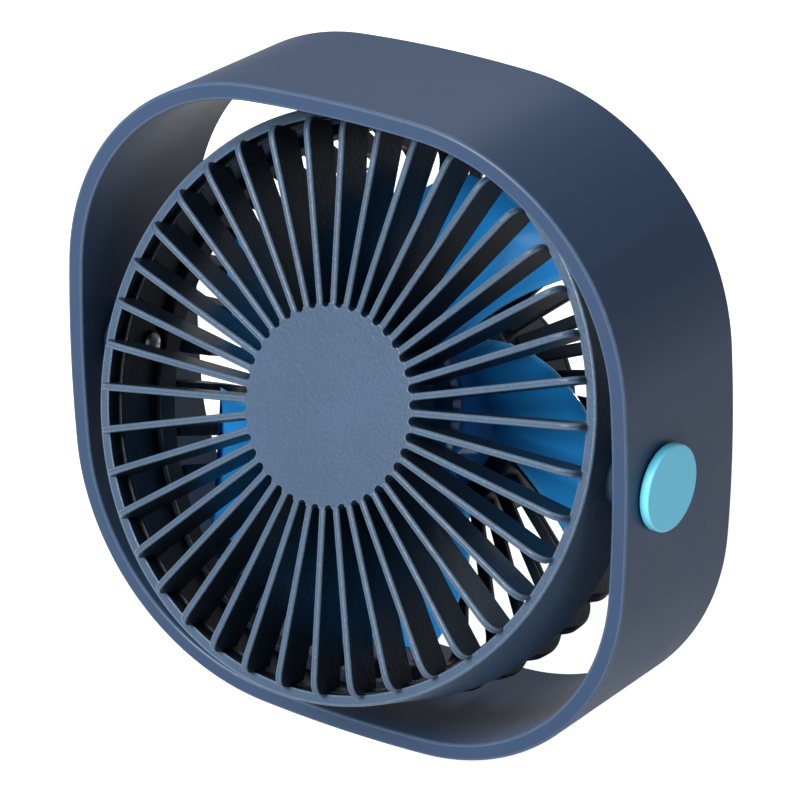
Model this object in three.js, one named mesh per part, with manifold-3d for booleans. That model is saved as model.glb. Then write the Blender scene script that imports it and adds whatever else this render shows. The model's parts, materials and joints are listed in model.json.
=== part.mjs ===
// Small desk fan: a round head that turns inside a standing rounded-square ring frame.
// Millimetres, +Z up, the air leaves towards -Y. The origin lies on the table under the object's middle.
import * as THREE from 'three';
import { mergeVertices } from 'three/addons/utils/BufferGeometryUtils.js';
import Module from 'manifold-3d';

// ---- driving dimensions ----
const FRAME_HALF = 70; // half width of the ring frame
const FRAME_ASPECT = 0.991; // its height over its width
const FRAME_DEPTH = 39;
const FRAME_WALL = 3.7;
const SIDE_RADIUS = 333; // the slightly bowed sides
const CORNER_RADIUS = 51.8;
const FOOT_DROP = 0.8; // the feet stand this far below the frame
const GAP = 0.3; // air left between neighbouring pieces
const TILT = THREE.MathUtils.degToRad(19); // resting lean of the head, top to the back
const PIVOT_Y = -6.75; // pivots, measured from the frame's middle plane
const CENTRE_Y = 1; // the frame's middle plane, measured from the origin

const HEAD_RADIUS = 60.77; // outside of the shroud
const HEAD_WALL = 2.33;
const SHROUD_FRONT = -12.6; // distances along the head's axis, measured from the pivots
const SHROUD_REAR = 7.4;
const GRILLE_FRONT = -16.8;
const FRONT_RIBS = 40;
const FRONT_RIB_DEPTH = 8.8;
const FRONT_HUB_RADIUS = 20;
const RIB_THICKNESS = 1.5;
const REAR_RIBS = 40;
const REAR_RIB_WIDTH = 2.7;
const REAR_RIB_DEPTH = 1.8;
const REAR_RIB_OFFSET = 6; // the rear ribs pass the axis at this distance
const REAR_RIB_PHASE = THREE.MathUtils.degToRad(3.4);
const REAR_PLANE = 25;
const REAR_HUB_RADIUS = 24.2;
const REAR_HUB_WALL = 2.2;
const BACK_PLATE = 18.7; // front face of the plate that carries the motor
const COVER_FRONT = 38.2;
const COVER_THICKNESS = 1.8;
const COVER_SCREW_CIRCLE = 18.5;
const BOARD_Y = 31.1; // front face of the control board

const ROTOR_BLADES = 5;
const ROTOR_RADIUS = 51;
const ROTOR_HUB_RADIUS = 20;
const ROTOR_FRONT = 2;
const ROTOR_REAR = 17.5;
const BLADE_THICKNESS = 1.4;
const SHAFT_RADIUS = 1.25;
const TUBE_RADIUS = 5.6;
const BUTTON_RADIUS = 5;

// ---- materials ----
const material = (color, roughness, metalness = 0) => (
  new THREE.MeshStandardMaterial({ color, roughness, metalness }));
const navy = material(0x2d4059, 0.5);
const slate = material(0x5b6d8b, 0.55);
const blue = material(0x1f6da8, 0.25);
const skyBlue = material(0x63b0d6, 0.45);
const rubber = material(0x26282c, 0.9);
const steel = material(0xb8bcc0, 0.3, 1);
const copper = material(0xb4673a, 0.4, 0.8);
const ferrite = material(0x3b3b3e, 0.7);
const board = material(0x1f6b3f, 0.6);
const black = material(0x17181a, 0.5);

// ---- solids ----
const wasm = await Module();
wasm.setup();

const toSolid = (geometry) => {
  const bare = geometry.clone();
  bare.deleteAttribute('normal');
  bare.deleteAttribute('uv');
  const merged = mergeVertices(bare, 1e-4);
  return new wasm.Manifold(new wasm.Mesh({
    numProp: 3,
    vertProperties: new Float32Array(merged.attributes.position.array),
    triVerts: new Uint32Array(merged.index.array),
  }));
};

const toGeometry = (solid) => {
  const { vertProperties, triVerts } = solid.getMesh();
  const geometry = new THREE.BufferGeometry();
  geometry.setAttribute('position', new THREE.BufferAttribute(vertProperties, 3));
  geometry.setIndex(new THREE.BufferAttribute(triVerts, 1));
  return geometry;
};

const join = (geometries) => geometries.map(toSolid).reduce((all, next) => all.add(next));
const cut = (solid, geometries) => geometries.map(toSolid).reduce((rest, next) => rest.subtract(next), solid);

// Lathes about the Y axis. A profile lists [radius, y] points against the clock and closes on itself.
const turned = (profile, segments = 24) => {
  const closed = [...profile, profile[0]].map(([radius, y]) => new THREE.Vector2(radius, y));
  return new THREE.LatheGeometry(closed, segments);
};
const tube = (inner, outer, y0, y1, segments = 24) => (
  turned([[inner, y0], [outer, y0], [outer, y1], [inner, y1]], segments));
const rod = (radius, y0, y1, segments = 24) => (
  new THREE.CylinderGeometry(radius, radius, y1 - y0, segments).translate(0, (y0 + y1) / 2, 0));
const block = (width, length, height, x, y, z) => (
  new THREE.BoxGeometry(width, length, height).translate(x, y, z));
// Turns something modelled along the Y axis to the X axis, so that y becomes x.
const alongX = (geometry) => geometry.rotateZ(-Math.PI / 2);
const extruded = (points, thickness) => {
  const shape = new THREE.Shape(points.map(([x, y]) => new THREE.Vector2(x, y)));
  const plate = new THREE.ExtrudeGeometry(shape, { depth: thickness, bevelEnabled: false });
  return plate.translate(0, 0, -thickness / 2);
};

// ---- the standing frame ----
const sideReach = SIDE_RADIUS - FRAME_HALF;
const cornerCentre = (Math.sqrt(2 * (SIDE_RADIUS - CORNER_RADIUS) ** 2 - sideReach ** 2) - sideReach) / 2;
const blendAngle = Math.atan2(cornerCentre, cornerCentre + sideReach);

// Rounded square of four bowed sides and four corner arcs, inset by a wall thickness.
const roundedSquare = (inset) => {
  const points = [];
  for (let side = 0; side < 4; side += 1) {
    const turn = side * Math.PI / 2;
    const place = (x, y) => new THREE.Vector2(x, y).rotateAround(new THREE.Vector2(), turn);
    const bow = place(-sideReach, 0);
    const corner = place(cornerCentre, cornerCentre);
    const [start, blend, end] = [turn - blendAngle, turn + blendAngle, turn + Math.PI / 2 - blendAngle];
    const sideArc = new THREE.ArcCurve(bow.x, bow.y, SIDE_RADIUS - inset, start, blend);
    const cornerArc = new THREE.ArcCurve(corner.x, corner.y, CORNER_RADIUS - inset, blend, end);
    points.push(...sideArc.getPoints(3).slice(0, -1), ...cornerArc.getPoints(10).slice(0, -1));
  }
  return points;
};

const makeFrame = () => {
  const edge = 0.4;
  const shape = new THREE.Shape(roundedSquare(0));
  shape.holes.push(new THREE.Path(roundedSquare(FRAME_WALL)));
  const ring = new THREE.ExtrudeGeometry(shape, {
    depth: FRAME_DEPTH - 2 * edge,
    bevelThickness: edge,
    bevelSize: edge,
    bevelOffset: -edge,
    bevelSegments: 1,
  });
  ring.translate(0, 0, edge - FRAME_DEPTH / 2).rotateX(Math.PI / 2).scale(1, 1, FRAME_ASPECT);
  const bores = alongX(rod(4.95, -FRAME_HALF - 5, FRAME_HALF + 5)).translate(0, PIVOT_Y, 0);
  return toGeometry(cut(toSolid(ring), [bores]));
};

// A rubber pad whose top follows the frame's underside.
const FOOT = { x0: 15.5, x1: 27.5, length: 12, row: 10 };
const makeFoot = () => {
  const { x0, x1, length } = FOOT;
  const bottom = -FRAME_HALF * FRAME_ASPECT - FOOT_DROP;
  const points = [[x1 - 1.5, bottom], [x1 - 0.4, bottom + 0.5], [x1, bottom + 1.5]];
  for (let step = 0; step <= 8; step += 1) {
    const x = x1 + (x0 - x1) * step / 8;
    const reach = Math.sqrt((CORNER_RADIUS + GAP) ** 2 - (x - cornerCentre) ** 2);
    points.push([x, -(cornerCentre + reach) * FRAME_ASPECT]);
  }
  points.push([x0 + 1, bottom]);
  return extruded(points, length).rotateX(Math.PI / 2);
};

// ---- pivots, modelled on the right and mirrored by a half turn to the left ----
const PIVOT_STACK = {
  boss: 62.6, washer: 62.9, flange: 64.2, frame: 65.9, barrel: 69.4, cap: 70.35, face: 72.3,
};
const WASHER_BORE = 3.4;

const makeKnob = () => {
  const { boss, cap, face } = PIVOT_STACK;
  const stem = 3.05;
  const start = boss + 0.35;
  const profile = [[1.5, start], [stem, start], [stem, cap], [8.9, cap], [8.9, face - 0.5], [8.4, face],
    [0, face], [0, cap - 1.3], [1.5, cap - 1.3]];
  return alongX(turned(profile, 28));
};
const makeBush = () => {
  const { flange, frame, barrel } = PIVOT_STACK;
  return alongX(turned([[WASHER_BORE, flange], [6.4, flange], [6.4, frame], [4.6, frame], [4.6, barrel],
    [WASHER_BORE, barrel]], 20));
};
const makeWasher = () => alongX(tube(WASHER_BORE, 6, PIVOT_STACK.washer, PIVOT_STACK.washer + 1, 20));

// A pan-headed screw with a cross recess: head top at 0, thread towards +Y.
const makeScrew = (headRadius, headHeight, shankRadius, length) => {
  const body = turned([[0, 0], [headRadius * 0.6, 0], [headRadius * 0.93, headHeight * 0.4],
    [headRadius, headHeight], [shankRadius, headHeight], [shankRadius, length - shankRadius],
    [shankRadius * 0.4, length], [0, length]], 14);
  const bar = headRadius * 0.22;
  const reach = headRadius * 1.1;
  const depth = headHeight * 0.7;
  return toGeometry(cut(toSolid(body), [block(bar, depth, reach, 0, depth / 2 - 0.01, 0),
    block(reach, depth, bar, 0, depth / 2 - 0.01, 0)]));
};

// ---- the head's shell ----
const shroudInner = HEAD_RADIUS - HEAD_WALL;
const spigotRadius = shroudInner - GAP;

const makeShroud = () => {
  const edge = 0.3;
  const wall = turned([[shroudInner, SHROUD_FRONT + edge], [shroudInner + edge, SHROUD_FRONT],
    [HEAD_RADIUS - edge, SHROUD_FRONT], [HEAD_RADIUS, SHROUD_FRONT + edge],
    [HEAD_RADIUS, SHROUD_REAR - edge], [HEAD_RADIUS - edge, SHROUD_REAR],
    [shroudInner + edge, SHROUD_REAR], [shroudInner, SHROUD_REAR - edge]], 45);
  const boss = alongX(rod(6.2, HEAD_RADIUS - 1.5, PIVOT_STACK.boss, 24));
  const bore = alongX(rod(1.5, -HEAD_RADIUS - 5, HEAD_RADIUS + 5, 12));
  return toGeometry(cut(join([wall, boss, boss.clone().rotateY(Math.PI)]), [bore]));
};

// Deep radial ribs whose outer ends round down onto the shroud's front edge.
const makeFrontGrille = () => {
  const back = GRILLE_FRONT + FRONT_RIB_DEPTH;
  const lip = SHROUD_FRONT - GAP;
  const tip = HEAD_RADIUS - 1.97;
  const root = FRONT_HUB_RADIUS - 1.5;
  const profile = [[root, GRILLE_FRONT], [root, back], [spigotRadius, back], [spigotRadius, lip], [tip, lip],
    [tip - 0.2, lip - 1.7], [tip - 1, lip - 2.9], [tip - 2.5, lip - 3.6], [tip - 5, GRILLE_FRONT]].reverse();
  const ribs = [];
  for (let index = 0; index < FRONT_RIBS; index += 1) {
    ribs.push(extruded(profile, RIB_THICKNESS).rotateY(index * 2 * Math.PI / FRONT_RIBS));
  }
  const cup = root - 0.3;
  const hub = turned([[0, GRILLE_FRONT], [FRONT_HUB_RADIUS, GRILLE_FRONT], [FRONT_HUB_RADIUS, back],
    [cup, back], [cup, GRILLE_FRONT + 2], [0, GRILLE_FRONT + 2]], 40);
  return toGeometry(join([hub, tube(spigotRadius - 1.4, spigotRadius, back - 2.4, back, 40), ...ribs]));
};

const polar = (radius, degrees) => {
  const angle = THREE.MathUtils.degToRad(degrees);
  return [radius * Math.cos(angle), radius * Math.sin(angle)];
};
const COVER_SCREW_ANGLES = [90, 210, 330];
const USB_DROP = 9; // the socket sits this far below the axis

// Straight swept ribs that wrap round the back edge and carry the hub with the motor seat.
const makeRearGrille = () => {
  const inner = REAR_PLANE - REAR_RIB_DEPTH;
  const root = REAR_HUB_RADIUS - 1;
  const envelope = [[HEAD_RADIUS - 0.2, SHROUD_REAR + GAP], [HEAD_RADIUS - 0.2, 11.6],
    [HEAD_RADIUS - 1.2, 16], [57.3, 20], [54, 23], [49.5, REAR_PLANE], [root, REAR_PLANE], [root, inner],
    [48.6, inner], [52.6, 21.6], [55.4, 19], [57, 15.6], [spigotRadius - 1, SHROUD_REAR + GAP]];
  const alongRib = (radius) => Math.sqrt(radius ** 2 - REAR_RIB_OFFSET ** 2);
  const profile = envelope.map(([radius, y]) => [alongRib(radius), y]);
  const ribs = [];
  for (let index = 0; index < REAR_RIBS; index += 1) {
    const rib = extruded(profile, REAR_RIB_WIDTH).translate(0, 0, REAR_RIB_OFFSET);
    ribs.push(rib.rotateY(index * 2 * Math.PI / REAR_RIBS - REAR_RIB_PHASE));
  }
  const spigot = tube(spigotRadius - 1.4, spigotRadius, SHROUD_REAR - 4, SHROUD_REAR + 1.2, 36);
  const rim = COVER_FRONT - GAP;
  const cavity = REAR_HUB_RADIUS - REAR_HUB_WALL;
  const hub = turned([[4, 6], [TUBE_RADIUS, 6], [TUBE_RADIUS, BACK_PLATE], [REAR_HUB_RADIUS, BACK_PLATE],
    [REAR_HUB_RADIUS, rim], [cavity, rim], [cavity, BACK_PLATE + 1.6], [4, BACK_PLATE + 1.6]], 36);
  const posts = [];
  const bores = [];
  for (const degrees of COVER_SCREW_ANGLES) {
    const [x, z] = polar(COVER_SCREW_CIRCLE, degrees);
    posts.push(rod(2.3, BACK_PLATE + 1, COVER_FRONT - 2 * GAP, 16).translate(x, 0, z));
    bores.push(rod(1.1, rim - 6, COVER_FRONT, 12).translate(x, 0, z));
  }
  const leadHole = rod(2.2, BACK_PLATE - 1, BACK_PLATE + 3, 16).translate(...wireExit());
  return toGeometry(cut(join([hub, spigot, ...posts, ...ribs]), [...bores, leadHole]));
};
const wireExit = () => {
  const [x, z] = polar(10.5, 40);
  return [x, 0, z];
};

const makeRearCover = () => {
  const back = COVER_FRONT + COVER_THICKNESS;
  const disc = turned([[0, COVER_FRONT], [REAR_HUB_RADIUS, COVER_FRONT], [REAR_HUB_RADIUS, back - 0.9],
    [REAR_HUB_RADIUS - 0.9, back], [0, back]], 40);
  const tools = [rod(BUTTON_RADIUS + 0.4, COVER_FRONT - 1, back + 1, 24),
    block(10, 8, 4.1, 0, back, -USB_DROP)];
  for (const degrees of COVER_SCREW_ANGLES) {
    const [x, z] = polar(COVER_SCREW_CIRCLE, degrees);
    tools.push(rod(1.3, COVER_FRONT - 1, back + 1, 12).translate(x, 0, z));
    tools.push(rod(2.7, back - 1.1, back + 1, 18).translate(x, 0, z));
  }
  return toGeometry(cut(toSolid(disc), tools));
};

// ---- button, switch and socket ----
const makeButton = () => {
  const flange = BUTTON_RADIUS + 1.3;
  const profile = [[0, -2.4], [2, -2.4], [2, -1.7], [flange, -1.7], [flange, -0.7], [BUTTON_RADIUS, -0.7],
    [BUTTON_RADIUS, 2.4], [BUTTON_RADIUS - 0.6, 3], [0, 3]];
  return turned(profile, 24).translate(0, COVER_FRONT, 0);
};

class Helix extends THREE.Curve {
  constructor(radius, y0, y1, turns) {
    super();
    Object.assign(this, { radius, y0, y1, turns });
  }

  getPoint(t, target = new THREE.Vector3()) {
    const angle = 2 * Math.PI * this.turns * t;
    const y = this.y0 + (this.y1 - this.y0) * t;
    return target.set(this.radius * Math.cos(angle), y, this.radius * Math.sin(angle));
  }
}
const circle = (radius, segments) => {
  const points = [];
  for (let index = 0; index < segments; index += 1) {
    const angle = 2 * Math.PI * index / segments;
    points.push(new THREE.Vector2(radius * Math.cos(angle), radius * Math.sin(angle)));
  }
  return new THREE.Shape(points);
};
const wire = (curve, radius, steps, sides = 6) => (
  new THREE.ExtrudeGeometry(circle(radius, sides), { steps, extrudePath: curve }));

const makeButtonSpring = () => wire(new Helix(5.3, BOARD_Y + 1.6, COVER_FRONT - 2.3, 3), 0.25, 42);
const makeSwitch = () => toGeometry(join([block(6, 2.2, 6, 0, BOARD_Y + 2.4, 0),
  rod(1.6, BOARD_Y + 3, BOARD_Y + 3.9, 20)]));
const makeControlBoard = () => rod(15, BOARD_Y, BOARD_Y + 1, 28);

const usbShell = (width, height, y0, y1) => {
  const half = (width - height) / 2;
  const outline = new THREE.Shape();
  outline.absarc(half, 0, height / 2, -Math.PI / 2, Math.PI / 2, false);
  outline.absarc(-half, 0, height / 2, Math.PI / 2, 3 * Math.PI / 2, false);
  const shell = new THREE.ExtrudeGeometry(outline, { depth: y1 - y0, curveSegments: 5, bevelEnabled: false });
  return shell.rotateX(Math.PI / 2).translate(0, y1, -USB_DROP);
};
const makeUsbSocket = () => toGeometry(cut(toSolid(usbShell(9, 3.3, BOARD_Y + 1.3, COVER_FRONT + 1.5)),
  [usbShell(8.3, 2.6, BOARD_Y + 2.3, COVER_FRONT + 2.7)]));
const makeUsbTongue = () => block(6.6, 5.4, 0.7, 0, BOARD_Y + 5.4, -USB_DROP);

// ---- rotor and motor ----
// Blade edges as angles against the clock seen from the front; span runs from 0 at the hub to 1 at the tip.
const bladeFrontEdge = (span) => 50 - 28 * span - 14 * span ** 2;
const bladeRearEdge = (span) => -9 - 22 * span + 4 * span ** 2;

const makeBlade = () => {
  const root = ROTOR_HUB_RADIUS - 1;
  const depth = ROTOR_REAR - ROTOR_FRONT - BLADE_THICKNESS - 0.3;
  const blade = new THREE.BoxGeometry(1, 1, 1, 5, 1, 7);
  const { position } = blade.attributes;
  for (let index = 0; index < position.count; index += 1) {
    const span = position.getX(index) + 0.5;
    const chord = 0.5 - position.getZ(index);
    const radius = root + (ROTOR_RADIUS - root) * span;
    const degrees = bladeFrontEdge(span) + (bladeRearEdge(span) - bladeFrontEdge(span)) * chord;
    const bend = 1.5 + 0.7 * span;
    const y = ROTOR_FRONT + BLADE_THICKNESS / 2 + 0.3 + depth * (1 - (1 - chord) ** bend);
    const [x, z] = polar(radius, degrees);
    position.setXYZ(index, x, y + position.getY(index) * BLADE_THICKNESS, z);
  }
  return blade;
};

const makeRotor = () => {
  const inside = ROTOR_HUB_RADIUS - 1.8;
  const cup = turned([[0, ROTOR_FRONT], [ROTOR_HUB_RADIUS - 4, ROTOR_FRONT],
    [ROTOR_HUB_RADIUS - 1.2, ROTOR_FRONT + 1.2], [ROTOR_HUB_RADIUS, ROTOR_FRONT + 4],
    [ROTOR_HUB_RADIUS, ROTOR_REAR], [inside, ROTOR_REAR], [inside, ROTOR_FRONT + 3.4],
    [inside - 1.5, ROTOR_FRONT + 1.8], [3.2, ROTOR_FRONT + 1.8], [3.2, ROTOR_FRONT + 3.6],
    [SHAFT_RADIUS + GAP, ROTOR_FRONT + 3.6], [SHAFT_RADIUS + GAP, ROTOR_FRONT + 1],
    [0, ROTOR_FRONT + 1]], 30);
  const blades = [];
  for (let index = 0; index < ROTOR_BLADES; index += 1) {
    blades.push(makeBlade().rotateY(index * 2 * Math.PI / ROTOR_BLADES));
  }
  return toGeometry(join([cup, ...blades]));
};

const STATOR = { bore: TUBE_RADIUS + GAP, core: 7.6, face: 12.6, tip: 14.3, y0: 8.5, y1: 12.5 };
const POLES = 4;

const makeStatorCore = () => {
  const { bore, core, face, tip, y0, y1 } = STATOR;
  const pieces = [tube(bore, core, y0, y1, 24)];
  const shoe = new THREE.Shape();
  shoe.absarc(0, 0, tip, -0.62, 0.62, false);
  shoe.absarc(0, 0, face, 0.62, -0.62, true);
  for (let index = 0; index < POLES; index += 1) {
    const turn = index * 2 * Math.PI / POLES + Math.PI / 4;
    const length = face + 0.4 - core + 0.4;
    pieces.push(block(length, y1 - y0, 3, core - 0.4 + length / 2, (y0 + y1) / 2, 0).rotateY(turn));
    const pole = new THREE.ExtrudeGeometry(shoe, { depth: y1 - y0, curveSegments: 4, bevelEnabled: false });
    pieces.push(pole.rotateX(Math.PI / 2).translate(0, y1, 0).rotateY(turn));
  }
  return toGeometry(join(pieces));
};
// One winding round a pole's neck.
const makeCoil = (index) => {
  const { core, face, y0, y1 } = STATOR;
  const middle = (y0 + y1) / 2;
  const width = face - core - 1;
  const outer = block(width, y1 - y0 + 3.4, 6.2, (face + core) / 2, middle, 0);
  const neck = block(width + 2, y1 - y0 + 2 * GAP, 3 + 2 * GAP, (face + core) / 2, middle, 0);
  return toGeometry(cut(toSolid(outer), [neck])).rotateY(index * 2 * Math.PI / POLES + Math.PI / 4);
};
// A spring clip on the shaft's end, open on one side.
const makeClip = () => {
  const ring = tube(SHAFT_RADIUS + GAP, 3, BACK_PLATE + 0.3, BACK_PLATE + 0.9, 16);
  return toGeometry(cut(toSolid(ring), [block(4, 3, 1.6, 2.5, BACK_PLATE + 0.6, 0)]));
};
const makeLead = (offset) => {
  const [x, , z] = wireExit();
  const path = new THREE.CatmullRomCurve3([new THREE.Vector3(x - 0.6, 17.6, z + offset * 1.6),
    new THREE.Vector3(x, 18.6, z + offset), new THREE.Vector3(x, 19.9, z + offset),
    new THREE.Vector3(x - 1, 25, z + offset * 1.6),
    new THREE.Vector3(x - 0.5, BOARD_Y - 0.6, z + offset * 1.4)]);
  return wire(path, 0.5, 14);
};

// ---- assembly ----
const fan = new THREE.Group();
const put = (parent, name, geometry, look) => {
  const mesh = new THREE.Mesh(geometry, look);
  mesh.name = name;
  parent.add(mesh);
  return mesh;
};

const stand = new THREE.Group();
stand.position.set(0, CENTRE_Y, FRAME_HALF * FRAME_ASPECT + FOOT_DROP);
fan.add(stand);
put(stand, 'frame_ring', makeFrame(), navy);
for (const [row, y] of [['front', -FOOT.row], ['rear', FOOT.row]]) {
  put(stand, `foot_${row}_right`, makeFoot(), rubber).position.y = y;
  const left = put(stand, `foot_${row}_left`, makeFoot(), rubber);
  left.position.y = y;
  left.rotation.z = Math.PI;
}

const head = new THREE.Group();
head.position.y = PIVOT_Y;
head.rotation.x = -TILT;
stand.add(head);
const axle = new THREE.Group();
axle.position.y = PIVOT_Y;
stand.add(axle);
for (const [side, turn] of [['right', 0], ['left', Math.PI]]) {
  put(axle, `pivot_bush_${side}`, makeBush(), navy).rotation.y = turn;
  put(head, `pivot_knob_${side}`, makeKnob(), skyBlue).rotation.y = turn;
  put(head, `friction_washer_${side}`, makeWasher(), rubber).rotation.y = turn;
  const screw = alongX(makeScrew(2.6, 1.5, 1.15, 11.6)).translate(shroudInner - 1.9, 0, 0);
  put(head, `pivot_screw_${side}`, screw, steel).rotation.y = turn;
}

put(head, 'shroud', makeShroud(), slate);
put(head, 'front_grille', makeFrontGrille(), slate);
put(head, 'rear_grille', makeRearGrille(), navy);
put(head, 'rear_cover', makeRearCover(), navy);
COVER_SCREW_ANGLES.forEach((degrees, index) => {
  const [x, z] = polar(COVER_SCREW_CIRCLE, degrees);
  const screw = put(head, `cover_screw_${index + 1}`, makeScrew(2.3, 0.8, 0.8, 6), steel);
  screw.rotation.x = Math.PI;
  screw.position.set(x, COVER_FRONT + COVER_THICKNESS, z);
});
put(head, 'push_button', makeButton(), skyBlue);
put(head, 'button_spring', makeButtonSpring(), steel);
put(head, 'switch_body', makeSwitch(), black);
put(head, 'control_board', makeControlBoard(), board);
put(head, 'usb_socket', makeUsbSocket(), steel);
put(head, 'usb_tongue', makeUsbTongue(), black);

put(head, 'rotor', makeRotor(), blue);
put(head, 'rotor_yoke', tube(16.5, 17.7, 5.6, 17, 30), steel);
put(head, 'magnet_ring', tube(14.8, 16.2, 6.2, 16, 30), ferrite);
put(head, 'motor_shaft', rod(SHAFT_RADIUS, ROTOR_FRONT + 1.3, 20.6, 14), steel);
put(head, 'bearing_front', tube(SHAFT_RADIUS + GAP, 3.7, 6.3, 9.3, 18), steel);
put(head, 'bearing_rear', tube(SHAFT_RADIUS + GAP, 3.7, 15, 18, 18), steel);
put(head, 'shaft_clip', makeClip(), steel);
put(head, 'stator_core', makeStatorCore(), steel);
for (let index = 0; index < POLES; index += 1) {
  put(head, `stator_coil_${index + 1}`, makeCoil(index), copper);
}
put(head, 'motor_board', tube(STATOR.bore + 0.1, 14.3, 15.6, 16.6, 24), board);
put(head, 'lead_red', makeLead(0.8), material(0xa8201c, 0.5));
put(head, 'lead_black', makeLead(-0.8), black);

export default fan;
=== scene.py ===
"""Looks for a small desk fan: fine surfaces, finishes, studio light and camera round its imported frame."""

import json
import math

import bpy
import numpy as np
from mathutils import Matrix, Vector
from mathutils.geometry import delaunay_2d_cdt


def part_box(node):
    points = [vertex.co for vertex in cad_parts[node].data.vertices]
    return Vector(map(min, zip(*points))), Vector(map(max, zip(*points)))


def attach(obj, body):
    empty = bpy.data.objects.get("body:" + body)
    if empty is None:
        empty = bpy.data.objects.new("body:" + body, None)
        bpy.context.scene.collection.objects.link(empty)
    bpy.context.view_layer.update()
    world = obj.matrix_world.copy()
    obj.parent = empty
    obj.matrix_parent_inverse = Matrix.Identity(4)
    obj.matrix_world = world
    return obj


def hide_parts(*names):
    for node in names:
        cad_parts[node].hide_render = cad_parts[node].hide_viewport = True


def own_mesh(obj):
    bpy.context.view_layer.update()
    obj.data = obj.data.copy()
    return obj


bl_info = {
    "name": "Desk fan looks",
    "version": (1, 0, 0),
    "blender": (4, 5, 0),
    "location": "3D View > Sidebar > Desk fan",
    "description": "Fine surfaces and finishes for a small tilting desk fan",
    "category": "Object",
}

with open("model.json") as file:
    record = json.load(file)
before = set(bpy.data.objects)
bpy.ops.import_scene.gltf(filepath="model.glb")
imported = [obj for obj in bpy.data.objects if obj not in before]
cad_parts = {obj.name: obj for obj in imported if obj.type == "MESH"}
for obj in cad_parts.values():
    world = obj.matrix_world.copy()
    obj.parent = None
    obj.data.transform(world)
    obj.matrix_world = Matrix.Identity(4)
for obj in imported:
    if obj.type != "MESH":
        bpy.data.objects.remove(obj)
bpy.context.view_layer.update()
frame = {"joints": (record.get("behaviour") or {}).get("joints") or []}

# ---- sizes, in millimetres ----
MM = 0.001
TAU = 2 * math.pi
JOINTS = {joint["name"]: joint for joint in frame["joints"]}
PIVOT = np.array(JOINTS["head_tilt"]["pos_m"]) / MM
RING_LOW, RING_HIGH = (np.array(corner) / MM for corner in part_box("frame_ring"))
RING_MIDDLE = (RING_LOW + RING_HIGH) / 2
RING_DEPTH = RING_HIGH[1] - RING_LOW[1]
RING_HALF = 70.0
RING_ASPECT = 0.991  # height over width
RING_WALL = 3.7
SIDE_RADIUS = 333.0
CORNER_RADIUS = 51.8
SIDE_REACH = SIDE_RADIUS - RING_HALF
CORNER_CENTRE = (math.sqrt(2 * (SIDE_RADIUS - CORNER_RADIUS) ** 2 - SIDE_REACH ** 2) - SIDE_REACH) / 2
GAP = 0.3
FOOT = {"x0": 15.6, "x1": 27.4, "half_length": 6.0, "end_round": 0.9}
FOOT_ROW = 10

HEAD_RADIUS = 60.77
HEAD_WALL = 2.33
SHROUD_INNER = HEAD_RADIUS - HEAD_WALL
SPIGOT_RADIUS = SHROUD_INNER - GAP
SHROUD_FRONT = -12.6
SHROUD_REAR = 7.4
GRILLE_FRONT = -16.8
FRONT_RIB_DEPTH = 8.8
FRONT_HUB_RADIUS = 20.0
PAINTED_SHADE_WALL = -0.9  # mark of the head's inner walls: painted shade that darkens them to a tenth
PAINTED_SHADE_RIB = -0.8  # mark of the front ribs' side walls: painted shade that darkens them to a fifth
REAR_PLANE = 25.0
REAR_RIB_DEPTH = 1.8
REAR_RIB_OFFSET = 6.0
REAR_RIB_PHASE = 3.4  # degrees
REAR_HUB_RADIUS = 24.2
REAR_HUB_WALL = 2.2
BACK_PLATE = 18.7
COVER_FRONT = 38.2
COVER_THICKNESS = 1.8
COVER_SCREW_CIRCLE = 18.5
COVER_SCREWS = [(COVER_SCREW_CIRCLE * math.cos(angle), COVER_SCREW_CIRCLE * math.sin(angle))
                for angle in (TAU / 4, TAU * 7 / 12, TAU * 11 / 12)]
USB_DROP = 9.0
BOARD_Y = 31.1
BUTTON_RADIUS = 5.0
WIRE_EXIT = (10.5, 40)  # radius, and angle in degrees
STATOR = {"bore": 5.9, "core": 7.6, "face": 12.6, "tip": 14.3, "front": 8.5, "rear": 12.5,
          "half_angle": 0.62}  # the half angle of a shoe is in radians

ROTOR_HUB_RADIUS = 20.0
ROTOR_RADIUS = 51.0
ROTOR_FRONT = 2.0
ROTOR_REAR = 17.5
SHAFT_RADIUS = 1.25
SHAFT_END = 20.6
TUBE_RADIUS = 5.6
# where each face of the pivot lies, from the middle outward
PIVOT_STACK = {"boss": 62.6, "washer": 62.9, "flange": 64.2, "frame": 65.9, "barrel": 69.4,
               "cap": 70.35, "face": 72.3}
PIVOT_BORE = 4.95
STEM_BORE = 3.4
SPRING = {"radius": 5.3, "wire": 0.25, "turns": 3, "pressed_share": 0.86}


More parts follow.
